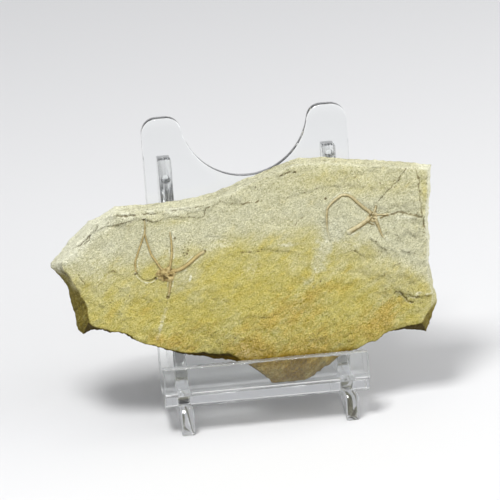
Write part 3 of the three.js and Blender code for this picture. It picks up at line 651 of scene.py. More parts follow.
def worn_and_lit_pale(u, v):
    """Pale places, from 0 to 1: worn soft patches and the vee, less a small ring, then whichever is
    most of that and the painted highlights on the banks beside arms and moulds, the high sides of bed edges,
    and the rims to the right of cracks, in their lines' own direction."""
    pale = soft_patches(PALE_PATCHES, u, v) + bare_vee(u, v) * (0.16 + 0.34 * rough(u / 0.9, v / 1.3, 12, 2))
    ring = np.abs(np.hypot(u - PALE_RING["centre"][0], v - PALE_RING["centre"][1]) - PALE_RING["radius"])
    pale = pale - 0.35 * bell(ring, 0, 0.4)
    scuffed = smooth(rough(u / 1.7, v / 1.7, 19, 2), -0.5, 0.6)
    # painted highlights on the banks beside arms and moulds
    for star in STARS:
        for arm in star["arms"]:
            pale = np.maximum(pale, 0.75 * bell(beyond_arm(arm, u, v), 0.42, 0.22) * scuffed)
        for mould in star["moulds"]:
            away, side, _ = to_line(mould["line"], u, v)
            bank = bell(away * side, -mould["width"] * 0.8, 0.22)
            pale = np.maximum(pale, np.maximum(0.75 * bank, 0.3 * bell(away, 0, 0.12)))
    wu, wv = wandering(u, v)
    scuffed = smooth(rough(u / 2.3, v / 2.3, 18, 2), -0.5, 0.5)
    # painted highlights on the high sides of bed edges
    for edge in BED_EDGES:
        away, side, place = to_line(edge["line"], wu, wv)
        high = away * side * math.copysign(1, edge["rise"])
        worn = bell(high, 0.55, 0.4) * ends_fade(place) * scuffed * smooth(abs(edge["rise"]), 0.25, 0.6)
        pale = np.maximum(pale, 0.6 * worn)
    # painted highlights on the rims to the right of cracks
    for crack in CRACKS:
        away, side, place = to_line(crack["line"], wu, wv)
        rim_line = bell(away * side, -0.4, 0.25) * ends_fade(place)
        pale = np.maximum(pale, 0.55 * rim_line * smooth(crack["depth"], 0.1, 0.4))
    return np.clip(pale, 0, 1)


def dirt_and_shade(u, v):
    """Darkness from 0 to 1: dark cracks, pits and the right star's stained disc, and painted shade at flake
    edges, in the grooves beside arms and moulds and at the feet of steps: high close to each line, on the low
    side of a bed edge, and broken up by noise."""
    wu, wv = wandering(u, v)
    dark = np.zeros(np.shape(u))
    broken = smooth(rough(u / 1.1, v / 1.1, 15, 2), -0.2, 0.8)
    # painted shadow at the feet of bed edges
    for edge in BED_EDGES:
        away, side, place = to_line(edge["line"], wu, wv)
        high = away * side * math.copysign(1, edge["rise"])
        foot = bell(high, -0.12, 0.16) * smooth(abs(edge["rise"]), 0.15, 0.42)
        dark = np.maximum(dark, foot * (0.5 + 0.5 * broken) * ends_fade(place))
    for crack in CRACKS:
        away, _, place = to_line(crack["line"], wu, wv)
        cut = bell(away, 0, crack["width"] / 1.8) * min(1, max(crack["depth"], 0) / 0.3)
        dark = np.maximum(dark, cut * (0.65 + 0.35 * broken))
    for (pu, pv, radius) in PITS:
        dark = np.maximum(dark, blob(u, v, (pu, pv), radius * 1.1))
    # painted shade at flake edges
    _, edge_line, flaky = flakes(u, v)
    dark = np.maximum(dark, 0.75 * edge_line * flaky * broken)
    dark = np.maximum(dark, 0.8 * blob(u, v, RIGHT_STAR["disc"]["centre"], 2.0, 1.8) * (0.5 + 0.5 * broken))
    # painted shadow in the grooves beside arms and on the inner side of moulds
    for star in STARS:
        for arm in star["arms"]:
            groove = bell(beyond_arm(arm, u, v), 0.06, 0.15)
            dark = np.maximum(dark, groove * (0.15 + star["outline"] * broken))
        for mould in star["moulds"]:
            away, side, _ = to_line(mould["line"], u, v)
            dark = np.maximum(dark, 0.65 * bell(away * side, mould["width"] * 0.42, 0.16))
    return dark


def shared_fields(u, v):
    """Fields that run on from the face over the edge and the back: specks, freshly broken stone, which is
    paler, and the foot, browned as painted shade under the acrylic lip."""
    fresh = smooth(v + 3 * rough(u / 6, v / 6, 91, 3), 30, 44)
    fresh = np.maximum(fresh, smooth(u, 46, 50) * smooth(v, 16, 22))
    specks = sum(blob(u, v, *patch) for patch in SPECK_PATCHES)
    return dict(specks=np.clip(specks, 0, 1), fresh=fresh, foot=smooth(v, 10.5, 8))


def face_fields(u, v, inward):
    """The bedding face's tints. Near its upper rim it is crumbled, and its upper left corner is bleached."""
    fields = shared_fields(u, v)
    broken_up = smooth(rough(u / 2.6, v / 2.6, 63, 3), -0.9, 0.3)
    crumbled = smooth(inward, 3.6, 0.4) * smooth(v, 38, 50) * broken_up
    crumbled = crumbled * (1 - 0.8 * smooth(u, -26, -6)) * (1 - 0.6 * smooth(u, 44, 49))
    bleached = smooth(inward, 7, 1) * smooth(u, -36, -46) * smooth(v, 39, 46)
    fields.update(
        yellow=yellow_stain(u, v),
        rust=np.clip(soft_patches(RUST_PATCHES, u, v), 0, 1),
        pale=np.maximum(worn_and_lit_pale(u, v), np.maximum(0.75 * crumbled, 0.85 * bleached)),
        specks=np.maximum(fields["specks"], 0.8 * crumbled),
        on_face=smooth(inward, 0.0, 0.5),
        near_face=np.ones(len(u)),
        under=np.zeros(len(u)),
        dark=dirt_and_shade(u, v),
    )
    return fields


def wall_fields(u, v, depth, facing_up):
    """The broken edge's tints: pale at the upper left and the right as a painted highlight where the walls
    catch the light, and painted shade underneath.
    """
    # painted highlight on the walls at the upper left and the right, where they catch the light
    painted_lit_corners = smooth(u, -34, -44) * smooth(v, 37, 41)
    painted_lit_corners = painted_lit_corners + 0.8 * smooth(u, 49, 51) * smooth(v, 28, 36)
    return dict(
        shared_fields(u, v),
        yellow=yellow_stain(u, v),
        rust=np.clip(soft_patches(RUST_PATCHES, u, v), 0, 1),
        pale=np.maximum(worn_and_lit_pale(u, v), painted_lit_corners),
        on_face=np.zeros(len(u)),
        near_face=1 - smooth(depth, 0, 4),
        # painted shade on the walls that face down
        under=smooth(-facing_up, 0.2, 0.9),
        dark=np.zeros(len(u)),
    )


def back_fields(u, v, inward):
    """The back's tints: broad patches of yellow and rust."""
    broad = rough(u / 13, v / 13, 85, 4)
    return dict(
        shared_fields(u, v),
        yellow=0.35 + 0.5 * broad,
        rust=0.2 + 0.6 * rough(u / 8, v / 8, 87, 3),
        pale=0.25 - 0.3 * broad,
        on_face=smooth(inward, 0.0, 1.0),
        near_face=np.zeros(len(u)),
        under=np.zeros(len(u)),
        dark=np.zeros(len(u)),
    )


def face_grid():
    """The bedding face: a Coons patch within its rim, raised by face_height, less a bevel that falls away
    exponentially from the rim and is wider where the stone has chipped. Returns the grid, its points'
    distances from the rim, the rim and the distance round it."""
    ring, around = rim(FACE_OUTLINE, seed=21, jag=0.16)
    grid = patch(ring, ACROSS, UPWARDS)
    u, v = grid[..., 0], grid[..., 1]
    inward = rim_distance(grid)
    ragged = 0.55 + 0.45 * rough(u / 3.1, v / 3.1, 61, 3)
    chipped = smooth(rough(u / 5.5, v / 5.5, 67, 3), 0.25, 0.8)
    bevel = 0.35 * ragged * np.exp(-inward / 0.35) + 0.75 * chipped * np.exp(-inward / 1.1)
    bevel = bevel * (1 - 0.7 * smooth(u, 42, 50))
    height = FACE_N + face_height(u, v) - bevel
    height = height + 0.2 * rough(u / 1.1, v / 1.1, 65, 2) * np.exp(-inward / 2)
    return np.stack([u, v, height], axis=-1), inward, ring, around


def bed_walls(upper_rim, lower_rim, normal, around):
    """The broken edge, in rings blended from the face's rim to the back's: two to each bed, just inside its
    joints, pushed in or out together by the bed's own noise. Returns the rings and the depth of each."""
    rings, depths = [], []
    for number, (start, end) in enumerate(zip(BEDS[:-1], BEDS[1:])):
        push = 0.34 * rough(around / 3.4, 3.1 * number, 200 + number, 3)
        push = push + 0.16 * rough(around / 0.8, 1.7 * number, 240 + number, 3)
        for depth in (start + SEAM, end - SEAM):
            share = depth / BEDS[-1]
            swell = push * ends_fade(share)
            ring = upper_rim * (1 - share) + lower_rim * share
            rings.append(ring + np.column_stack([normal * swell[:, None], np.zeros(len(normal))]))
            depths.append(depth)
    return np.array(rings), np.array(depths)


def slab():
    """The broken slab: the face's grid, the walls of its beds, and the back, a Coons patch half as fine, less
    its hollows, whose rim takes every second point of the wall's last ring."""
    face, inward, face_ring, around = face_grid()
    face_rim = rim_indices(ACROSS, UPWARDS)
    face_points = face.reshape(-1, 3)
    back_ring, _ = rim(BACK_OUTLINE, seed=22, jag=0.2)
    lower_rim = np.column_stack([back_ring, BACK_N + back_hollow(back_ring[:, 0], back_ring[:, 1])])
    normal = unit(ring_normals(face_ring) + ring_normals(back_ring))
    walls, depths = bed_walls(face_points[face_rim], lower_rim, normal, around)
    wall_points = walls.reshape(-1, 3)

    back_grid = patch(lower_rim[::2, :2], ACROSS // 2, UPWARDS // 2)
    bu, bv = back_grid[..., 0], back_grid[..., 1]
    back_points = np.stack([bu, bv, BACK_N + back_hollow(bu, bv)], axis=-1).reshape(-1, 3)
    back_rim = rim_indices(ACROSS // 2, UPWARDS // 2)
    back_points[back_rim] = lower_rim[::2]

    wall_first = len(face_points)
    back_first = wall_first + len(wall_points)
    rings = np.vstack([face_rim[None], wall_first + np.arange(len(wall_points)).reshape(-1, len(around))])
    upper, lower = rings[:-1], rings[1:]
    wall = np.stack([upper, lower, np.roll(lower, -1, 1), np.roll(upper, -1, 1)], axis=-1).reshape(-1, 4)
    last = rings[-1]
    a, b, c = last[::2], last[1::2], np.roll(last, -2)[::2]
    d = back_first + back_rim
    e = np.roll(d, -1)
    stitch = np.concatenate([np.stack(corners, axis=-1) for corners in ((a, d, b), (b, d, e), (b, e, c))])
    faces = [
        grid_faces(UPWARDS + 1, ACROSS + 1),
        wall,
        stitch,
        grid_faces(UPWARDS // 2 + 1, ACROSS // 2 + 1, back_first, flip=True),
    ]

    wall_depth = np.repeat(depths, len(around))
    facing_up = np.tile(normal[:, 1], len(depths))
    parts = [
        face_fields(*face_points[:, :2].T, inward.ravel()),
        wall_fields(*wall_points[:, :2].T, wall_depth, facing_up),
        back_fields(*back_points[:, :2].T, rim_distance(back_grid).ravel()),
    ]
    fields = {name: np.concatenate([part[name] for part in parts]) for name in parts[0]}
    points = np.concatenate([face_points, wall_points, back_points])
    return make_piece("limestone_slab", to_frame(*points.T), faces, fields=fields)


# ---------------------------------------------------------------- the stars

ARM_SIDES = 14
ARM_STEP = 0.1  # between an arm's rings of points
TOWARD_THE_LIGHT = np.array([-0.42, 0.91])  # the way the flanks painted as lit face: towards the light


def arm_tube(arm, seed, lit_flank_share):
    """One arm: an oval section carried along its curve over the face. Its width runs from one end's to the
    other's, swells at each segment as the cosine of the distance, and closes at the tips as a circle does.
    The stored light field is high on the crest and, by the given share, on the flank that faces the light up
    the slab:
    it paints a highlight there and shade on the lower flank."""
    line, length = curve_through(arm["line"], ARM_STEP)
    count = len(line)
    t = np.linspace(0, 1, count)
    s = t * length
    along = unit(np.gradient(line, axis=0))
    across = np.stack([-along[:, 1], along[:, 0]], axis=-1)
    half = (arm["widths"][0] * (1 - t) + arm["widths"][1] * t) / 2
    half = half * (1 + 0.07 * np.cos(2 * math.pi * s / SEGMENT) + 0.05 * rough(s / 0.8, 0.0, seed, 2))
    tip = np.clip(np.minimum(s, length - s) / (0.55 * half), 0, 1)
    close = np.sqrt(np.clip(1 - (1 - tip) ** 2, 0, 1))
    half = half * np.maximum(close, 0.02)
    rise = arm["rise"] * (0.8 + 0.2 * t) * np.maximum(close, 0.02)
    rise = rise * (1 + 0.1 * np.cos(2 * math.pi * s / SEGMENT) + 0.12 * rough(s / 1.3, 5.0, seed + 3, 2))
    ground = FACE_N + bed_height(line[:, 0], line[:, 1]) - FOSSIL_SINK
    angle = np.arange(ARM_SIDES) * 2 * math.pi / ARM_SIDES
    flank = half[:, None] * np.cos(angle)
    top = rise[:, None] * np.sin(angle)
    top = np.where(np.sin(angle) < 0, top * 0.9, top)
    crest = 1 - 0.12 * bell(np.cos(angle), 0, 0.25) * (np.sin(angle) > 0)
    points = np.stack(
        [
            line[:, None, 0] + across[:, None, 0] * flank,
            line[:, None, 1] + across[:, None, 1] * flank,
            ground[:, None] + top * crest,
        ],
        axis=-1,
    ).reshape(-1, 3)
    sides = grid_faces(count, ARM_SIDES, wrap=True)
    first_cap = np.arange(ARM_SIDES)[None, ::-1]
    last_cap = ((count - 1) * ARM_SIDES + np.arange(ARM_SIDES))[None]
    # painted light: a highlight on the crest and on the flank towards the light, painted shade on the lower
    # flank
    upper = across @ TOWARD_THE_LIGHT
    painted_light = (1 - 0.4 * lit_flank_share) * np.sin(angle)[None] + lit_flank_share * np.cos(angle)[None] * upper[:, None]
    painted_light = np.clip(painted_light, 0, 1).ravel()
    wear = np.repeat(smooth(t, 0.75, 1.0), ARM_SIDES)
    return points, [sides, first_cap, last_cap], painted_light, wear


def disc_lump(disc, arms):
    """The disc: a low dome on rings and spokes, whose height falls as a circle does. Its outline swells
    towards each arm as a Gaussian of the angle, ridges run from arm to arm over the top, and fractal noise
    crumples it. The underside is the same outline, sunk below the face."""
    rings = 22
    spokes = 72
    angle = np.arange(spokes) * 2 * math.pi / spokes
    centre = np.array(disc["centre"])
    heading = [math.atan2(*(np.array(arm["line"][2]) - centre)[::-1]) for arm in arms]
    toward = sum(bell(np.angle(np.exp(1j * (angle - h))), 0, 0.32) for h in heading)
    seed = disc["seed"]
    wobble = 0.08 * rough(4 * np.cos(angle), 4 * np.sin(angle), seed, 3)
    outline = 0.86 + 0.2 * np.clip(toward, 0, 1) + wobble
    share = np.linspace(0, 1, rings + 1)[1:]
    cos_t, sin_t = math.cos(disc["turn"]), math.sin(disc["turn"])
    x = disc["radii"][0] * np.cos(angle)[None] * outline[None] * share[:, None]
    y = disc["radii"][1] * np.sin(angle)[None] * outline[None] * share[:, None]
    u = centre[0] + x * cos_t - y * sin_t
    v = centre[1] + x * sin_t + y * cos_t
    dome = np.sqrt(np.clip(1 - share**2, 0, 1))[:, None]
    ridges = np.clip(toward, 0, 1)[None] * np.sin(math.pi * np.clip(share * 1.15, 0, 1))[:, None]
    crumple = rough(u / 0.75, v / 0.75, seed + 5, 4)
    folds = np.abs(rough(u / 1.4, v / 1.4, seed + 9, 3))
    high = disc["height"] * dome * (0.62 + 0.42 * ridges + 0.34 * crumple + 0.4 * (0.5 - folds))
    ground = FACE_N + bed_height(u, v) - FOSSIL_SINK
    top = np.stack([u, v, ground + high], axis=-1)
    low = np.stack([u, v, ground - 0.6 * dome * disc["height"]], axis=-1)[:-1]
    middle = np.array([centre[0], centre[1], 0.0])
    ground_middle = FACE_N + bed_height(centre[0], centre[1]) - FOSSIL_SINK
    peak = middle + [0, 0, ground_middle + disc["height"] * 0.62]
    base = middle + [0, 0, ground_middle - 0.6 * disc["height"]]
    points = np.concatenate([top.reshape(-1, 3), low.reshape(-1, 3), [peak, base]])
    low_first = rings * spokes
    peak_at = len(points) - 2
    around = np.arange(spokes)
    after = (around + 1) % spokes
    peak_fan = np.stack([np.full(spokes, peak_at), around, after], axis=-1)
    base_fan = np.stack([np.full(spokes, peak_at + 1), low_first + after, low_first + around], axis=-1)
    top_rim = (rings - 1) * spokes + around
    low_rim = low_first + (rings - 2) * spokes + around
    faces = [
        grid_faces(rings, spokes, wrap=True, flip=True),
        grid_faces(rings - 1, spokes, low_first, wrap=True),
        band(low_rim, top_rim),
        peak_fan,
        base_fan,
    ]
    # painted highlight where the crumpled top stands high and on the ridges between arms
    crest = np.clip(0.66 + crumple * 0.6 + ridges * 0.3, 0, 1)
    painted_light = np.concatenate([crest.ravel(), np.zeros(low.size // 3), [0.5, 0]])
    return points, faces, painted_light, np.zeros(len(points))


def brittle_star(name, star):
    """A whole star: the disc, its arms and its struts, as closed shells that run into each other. The struts
    are thin arms that keep to the dark tint."""
    parts = [disc_lump(star["disc"], star["arms"])]
    seed, lit_flank_share = star["disc"]["seed"], star["lit_flank_share"]
    parts += [arm_tube(arm, seed + 31 * k, lit_flank_share) for k, arm in enumerate(star["arms"])]
    for k, line in enumerate(star["struts"]):
        strut = dict(line=line, widths=STRUT_WIDTHS, rise=STRUT_RISE)
        strut_points, strut_faces, strut_ridge, strut_wear = arm_tube(strut, seed + 7 * k, lit_flank_share)
        parts.append((strut_points, strut_faces, 0.15 * strut_ridge, strut_wear))
    points, faces, painted_light, wear = [], [], [], []
    first = 0
    for (part_points, part_faces, part_ridge, part_wear) in parts:
        points.append(part_points)
        faces += [face + first for face in part_faces]
        painted_light.append(part_ridge)
        wear.append(part_wear)
        first += len(part_points)
    points = np.concatenate(points)
    fields = dict(painted_light=np.concatenate(painted_light), wear=np.concatenate(wear))
    return make_piece(name, to_frame(*points.T), faces, fields=fields)


# ---------------------------------------------------------------- the easel


def arc(centre, radius, start, end, count):
    """Points on an arc from one angle to another, in degrees."""
    angle = np.radians(np.linspace(start, end, count))
    return np.stack([centre[0] + radius * np.cos(angle), centre[1] + radius * np.sin(angle)], axis=-1)


def top_outline():
    """The plate's top edge from its left side to its right: round prong corners and the round notch."""
    half = EASEL_WIDTH / 2
    corner_u = half - PRONG_OUTER_RADIUS
    corner_v = PLATE_HEIGHT - PRONG_OUTER_RADIUS
    fillet_v = PLATE_HEIGHT - PRONG_INNER_RADIUS
    reach = NOTCH_RADIUS + PRONG_INNER_RADIUS
    fillet_u = math.sqrt(reach**2 - (fillet_v - NOTCH_CENTRE_V) ** 2)
    tangent = math.degrees(math.atan2(fillet_v - NOTCH_CENTRE_V, fillet_u))
    left = np.vstack([
        arc((-corner_u, corner_v), PRONG_OUTER_RADIUS, 180, 90, 14),
        arc((-fillet_u, fillet_v), PRONG_INNER_RADIUS, 90, -tangent, 14),
        arc((0, NOTCH_CENTRE_V), NOTCH_RADIUS, 180 - tangent, 270, 44)[1:],
    ])
    right = left[-2::-1] * [-1, 1]
    return np.vstack([left, right])


def outline_inset(line, amount):
    """The same line moved into the sheet, along the normal on its right, by amount."""
    step = np.gradient(line, axis=0)
    return line + amount * unit(np.stack([step[:, 1], -step[:, 0]], axis=-1))


SHEET_COLUMNS = 240
SAW_CHATTER = 0.22  # depth of the marks in the lip's sawn edge


def sheet_section(distance):
    """Where the sheet's middle surface lies, at a distance along it from the lip's top: its place (n, v) and
    the normal that points to the front, for a path of straight runs joined by quarter circles."""
    radius = BEND_RADIUS + SHEET / 2
    lip_n = LEDGE_DEPTH + SHEET / 2
    lip = LIP_HEIGHT - BEND_RADIUS
    bend = radius * math.pi / 2
    ledge = LEDGE_DEPTH - 2 * BEND_RADIUS
    marks = np.cumsum([0, lip, bend, ledge, bend])
    d = np.asarray(distance, dtype=float)
    first = np.clip((d - marks[1]) / radius, 0, math.pi / 2)
    second = np.clip((d - marks[3]) / radius, 0, math.pi / 2)
    turn = first + second
    n = lip_n - radius * (1 - np.cos(first)) - np.clip(d - marks[2], 0, ledge) - radius * np.sin(second)
    v = LIP_HEIGHT - np.clip(d, 0, lip) - radius * np.sin(first)
    v = v + radius * (1 - np.cos(second)) + np.clip(d - marks[4], 0, None)
    return n, v, np.cos(turn), np.sin(turn), marks


def sheet_ring(amount, columns, side_d, top):
    """The flat sheet's outline in across and along, moved inwards by amount: the lip's edge, one side, the
    top outline and the other side, anticlockwise."""
    half = EASEL_WIDTH / 2 - amount
    along = np.maximum(side_d, amount)
    lip = np.stack([columns * half, np.full(len(columns), amount)], axis=-1)
    side = np.stack([np.full(len(along), half), along], axis=-1)
    over = outline_inset(top, amount)
    return np.vstack([lip[:-1], side[:-1], over[::-1][:-1], (side * [-1, 1])[::-1][:-1]])


def sheet_piece():
    """The bent sheet. A grid over the flat sheet, from the lip's edge to the plate's top outline, and rings
    round it are carried onto the bent middle surface. Each point is doubled along the normal by half the
    thickness, which falls away over the rings as a quarter circle does."""
    marks = sheet_section(0)[-1]
    lift = marks[4] - BEND_RADIUS
    top = resample(top_outline(), SHEET_COLUMNS) + [0, lift]
    columns = np.linspace(-1, 1, SHEET_COLUMNS + 1)
    bent_d = np.concatenate([  # rows on the lip, its bend, the ledge and its bend
        np.linspace(EDGE_ROUND, marks[1], 6),
        np.linspace(marks[1], marks[2], 11)[1:],
        np.linspace(marks[2], marks[3], 5)[1:],
        np.linspace(marks[3], marks[4], 11)[1:],
    ])
    plate_d = np.linspace(marks[4], top[0, 1], 25)[1:]
    side_d = np.concatenate([bent_d, plate_d])
    low = np.stack(np.broadcast_arrays(columns * (EASEL_WIDTH / 2 - EDGE_ROUND), bent_d[:, None]), axis=-1)
    share = ((plate_d - marks[4]) / (plate_d[-1] - marks[4]))[:, None, None]
    high = low[-1] * (1 - share) + outline_inset(top, EDGE_ROUND) * share
    grid = np.concatenate([low, high])
    rows, width = grid.shape[:2]

    angle = np.linspace(0, math.pi / 2, 6)[1:]
    insets = EDGE_ROUND * (1 - np.sin(angle))
    rings = [sheet_ring(amount, columns, side_d, top) for amount in insets]
    flat = np.concatenate([grid.reshape(-1, 2), *rings])
    thick = np.full(rows * width, SHEET / 2)
    drop = EDGE_ROUND * (1 - np.cos(angle))
    thick = np.concatenate([thick, np.repeat(SHEET / 2 - drop, len(rings[0]))])
    at_edge = 1 - smooth(flat[:, 1], 0.1, EDGE_ROUND)
    flat[:, 1] += SAW_CHATTER * at_edge * np.abs(rough(flat[:, 0] / 0.55, 0, 301, 2, 0.7))
    n, v, facing_n, facing_v, _ = sheet_section(flat[:, 1])
    sawn = np.concatenate([at_edge * 0.12, at_edge])
    flat[:, 0] += SHEET_OFFSET
    outside = np.stack([flat[:, 0], v - thick * facing_v, n + thick * facing_n], axis=-1)
    inside = np.stack([flat[:, 0], v + thick * facing_v, n - thick * facing_n], axis=-1)

    numbers = [rim_indices(width - 1, rows - 1)]
    numbers += [rows * width + k * len(rings[0]) + np.arange(len(rings[0])) for k in range(len(rings))]
    faces = [grid_faces(rows, width, flip=True), grid_faces(rows, width, len(flat))]
    for near, far in zip(numbers[:-1], numbers[1:]):
        faces += [band(near, far), band(near, far)[:, ::-1] + len(flat)]
    faces.append(band(numbers[-1], numbers[-1] + len(flat)))
    places = to_frame(*np.concatenate([outside, inside]).T)
    return make_piece("easel_bent_sheet", places, faces, fields=dict(sawn=sawn))


def leg_outline():
    """The leg's outline seen from the side, in y and z over the table, anticlockwise. Its rear edge is a
    quadratic curve from the heel to the top, drawn towards a point between them."""
    back = -SHEET - LEG_GAP

    def standing(n, v):
        y = v * math.sin(LEAN) - n * math.cos(LEAN)
        return y, LEDGE_LIFT + v * math.cos(LEAN) + n * math.sin(LEAN)

    front = standing(LEDGE_DEPTH + SHEET - 0.5, back)
    top = standing(back - LEG_TOP_DEPTH, LEG_TOP_V)
    t = np.linspace(0, 1, 40)[:, None]
    heel = np.array([LEG_REAR_Y, LEG_HEEL])
    pull = np.array([top[0] + 3, 32])
    rear = (1 - t) ** 2 * heel + 2 * t * (1 - t) * pull + t**2 * np.array(top)
    return np.vstack([
        [(front[0], 0), (LEG_REAR_Y, 0)],
        rear,
        [standing(back, LEG_TOP_V), standing(back, back), front],
    ])


def air_bubble(u, v, first):
    """The skin of a flat bubble in the cement at a fin's front edge: rings of latitude on a flattened sphere,
    closed by a small face at each pole. It faces inwards, because it is a hollow."""
    rings, around = 15, 28
    pole_gap = 0.04  # in radians
    latitude = np.linspace(pole_gap, math.pi - pole_gap, rings)[:, None]
    longitude = np.arange(around) * 2 * math.pi / around
    bubble_u = u + BUBBLE_RADIUS * np.sin(latitude) * np.cos(longitude)
    bubble_v = v + BUBBLE_RADIUS * np.sin(latitude) * np.sin(longitude)
    bubble_n = -SHEET - LEG_GAP - BUBBLE_DEPTH * (1.6 + np.cos(latitude)) + 0 * longitude
    points = to_frame(bubble_u.ravel(), bubble_v.ravel(), bubble_n.ravel())
    near_pole = first + np.arange(around)[None]
    far_pole = first + ((rings - 1) * around + np.arange(around)[::-1])[None]
    return points, [grid_faces(rings, around, first, wrap=True, flip=True), near_pole, far_pole]


def leg(name, side, bubble_drop):
    """A flat fin: its outline, moved inwards step by step on a quarter circle at both faces, so that the
    polished edges are round, and closed by a flat face on each side. Its bubble is bubble_drop below its
    top."""
    outline = leg_outline()
    before = unit(outline - np.roll(outline, 1, 0))
    after = unit(np.roll(outline, -1, 0) - outline)
    normal_a = np.stack([before[:, 1], -before[:, 0]], axis=-1)
    normal_b = np.stack([after[:, 1], -after[:, 0]], axis=-1)
    mitre = (normal_a + normal_b) / (1 + (normal_a * normal_b).sum(1, keepdims=True))
    angle = np.linspace(0, math.pi / 2, 5)
    inset = EDGE_ROUND * (1 - np.sin(angle))
    inset = np.concatenate([[2 * EDGE_ROUND], inset, inset[::-1], [2 * EDGE_ROUND]])
    depth = SHEET / 2 - EDGE_ROUND * (1 - np.cos(angle))
    across = np.concatenate([[SHEET / 2], depth, -depth[::-1], [-SHEET / 2]])
    rows = outline[None] - inset[:, None, None] * mitre[None]
    rows[..., 1] = np.maximum(rows[..., 1], FOOT_AIR)
    u = np.broadcast_to(across[:, None] + side * LEG_SPACING / 2, rows.shape[:2])
    places = np.stack([u * MM + SHIFT_X, rows[..., 0] * MM + SHIFT_Y, rows[..., 1] * MM], axis=-1)
    count, width = rows.shape[:2]
    first_cap = np.arange(width)[None]
    last_cap = ((count - 1) * width + np.arange(width)[::-1])[None]
    hollow, hollow_faces = air_bubble(side * LEG_SPACING / 2, LEG_TOP_V - bubble_drop, count * width)
    faces = [grid_faces(count, width, wrap=True, flip=True), first_cap, last_cap, *hollow_faces]
    return make_piece(name, np.concatenate([places.reshape(-1, 3), hollow]), faces)


# ---------------------------------------------------------------- shader helpers


class Shade:
    """A shader socket with arithmetic: each operator adds the Math node it needs."""

    def __init__(self, graph, socket):
        self.graph = graph
        self.socket = socket

    def _math(self, operation, a, b):
        return self.graph.node("ShaderNodeMath", {"operation": operation}, {0: a, 1: b})["Value"]

    def __add__(self, other):
        return self._math("ADD", self, other)

    def __radd__(self, other):
        return self._math("ADD", other, self)

    def __sub__(self, other):
        return self._math("SUBTRACT", self, other)

    def __rsub__(self, other):
        return self._math("SUBTRACT", other, self)

    def __mul__(self, other):
        return self._math("MULTIPLY", self, other)

    def __rmul__(self, other):
        return self._math("MULTIPLY", other, self)

    def between(self, low, high):
        """0 at low, 1 at high, clamped and eased."""
        settings = {"interpolation_type": "SMOOTHSTEP"}
        return self.graph.node("ShaderNodeMapRange", settings, {0: self, 1: low, 2: high})["Result"]


class Graph:
    """A material's nodes, all made by one method."""

    def __init__(self, name):
        self.material = bpy.data.materials.new(name)
        self.material.use_nodes = True
        self.tree = self.material.node_tree
        self.tree.nodes.clear()

    def node(self, kind, settings=None, inputs=None):
        """One node of a kind, with its settings and its inputs, which are values or other nodes' outputs.
        Returns its outputs by name."""
        made = self.tree.nodes.new(kind)
        for key, value in (settings or {}).items():
            setattr(made, key, value)
        for key, value in (inputs or {}).items():
            socket = made.inputs[key]
            if isinstance(value, Shade):
                self.tree.links.new(value.socket, socket)
            else:
                socket.default_value = value
        return {output.name: Shade(self, output) for output in made.outputs if output.enabled}

    def field(self, name):
        """A float field stored on the mesh."""
        return self.node("ShaderNodeAttribute", {"attribute_name": name})["Fac"]

    def mix(self, factor, a, b, blend="MIX"):
        """Colour mix: 6 and 7 are the colour sockets A and B."""
        settings = {"data_type": "RGBA", "blend_type": blend, "clamp_factor": True}
        return self.node("ShaderNodeMix", settings, {0: factor, 6: a, 7: b})["Result"]

    def place(self, stretch, turn=(0, 0, 0)):
        """The object's own coordinates, turned by turn and then divided by stretch along the turned axes."""
        inputs = {"Vector": self.node("ShaderNodeTexCoord")["Object"], "Rotation": turn, "Scale": stretch}
        return self.node("ShaderNodeMapping", {"vector_type": "TEXTURE"}, inputs)["Vector"]

    def noise(self, scale, detail=3.0, roughness=0.5, vector=None):
        """Fractal noise from 0 to 1 of a place, or of the object's own coordinates."""
        inputs = {"Scale": scale, "Detail": detail, "Roughness": roughness}
        inputs["Vector"] = vector or self.node("ShaderNodeTexCoord")["Object"]
        return self.node("ShaderNodeTexNoise", {}, inputs)["Fac"]

    def bump(self, height, depth_mm, strength=1.0):
        """The normal of a relief whose height runs from 0 to 1 over depth_mm."""
        inputs = {"Strength": strength, "Distance": depth_mm * MM, "Height": height}
        return self.node("ShaderNodeBump", {}, inputs)["Normal"]

    def surface(self, **inputs):
        """The Principled surface and the output."""
        names = {key.replace("_", " "): value for key, value in inputs.items()}
        bsdf = self.node("ShaderNodeBsdfPrincipled", {}, names)["BSDF"]
        self.node("ShaderNodeOutputMaterial", {}, {"Surface": bsdf})
        return self.material


PER_MM = 1000.0  # noise cells to the metre for one to the millimetre


def colour(red, green, blue):
    """A solid colour of three linear parts."""
    return (red, green, blue, 1.0)


# ---------------------------------------------------------------- materials

CREAM = colour(0.61, 0.596, 0.415)  # the clean stone
BONE_AND_HIGHLIGHT = colour(0.83, 0.82, 0.63)  # worn places, and painted highlights on lit rims and banks
YELLOW = colour(0.535, 0.475, 0.155)
GOLD = colour(0.51, 0.405, 0.05)
RUST = colour(0.50, 0.345, 0.08)
GREY_GREEN = colour(0.46, 0.43, 0.15)
EARTH_AND_SHADE = colour(0.07, 0.05, 0.015)  # specks, and painted shade on the underside
CHALK = colour(0.80, 0.785, 0.59)  # freshly broken edges
BROWN = colour(0.18, 0.13, 0.012)  # stained edges and the joints between beds
LIP_SHADE_SIENNA = colour(0.215, 0.13, 0.002)  # painted shade on the foot, under the acrylic lip
UMBER = colour(0.14, 0.10, 0.03)  # dark cracks, pits and stains, and painted shade in grooves and at the feet of steps
# The left fossil's middle tint, its painted highlight tint and its painted shade tint, then the right one's.
TAN = colour(0.37, 0.275, 0.095)
FAWN = colour(0.54, 0.435, 0.2)
SEPIA = colour(0.19, 0.13, 0.04)
DUN = colour(0.34, 0.275, 0.125)
IVORY = colour(0.68, 0.605, 0.375)
OLIVE = colour(0.21, 0.165, 0.065)

GRAIN_TURN = (0, math.radians(-38), 0)  # the stone's grain runs up to the right by 38 degrees


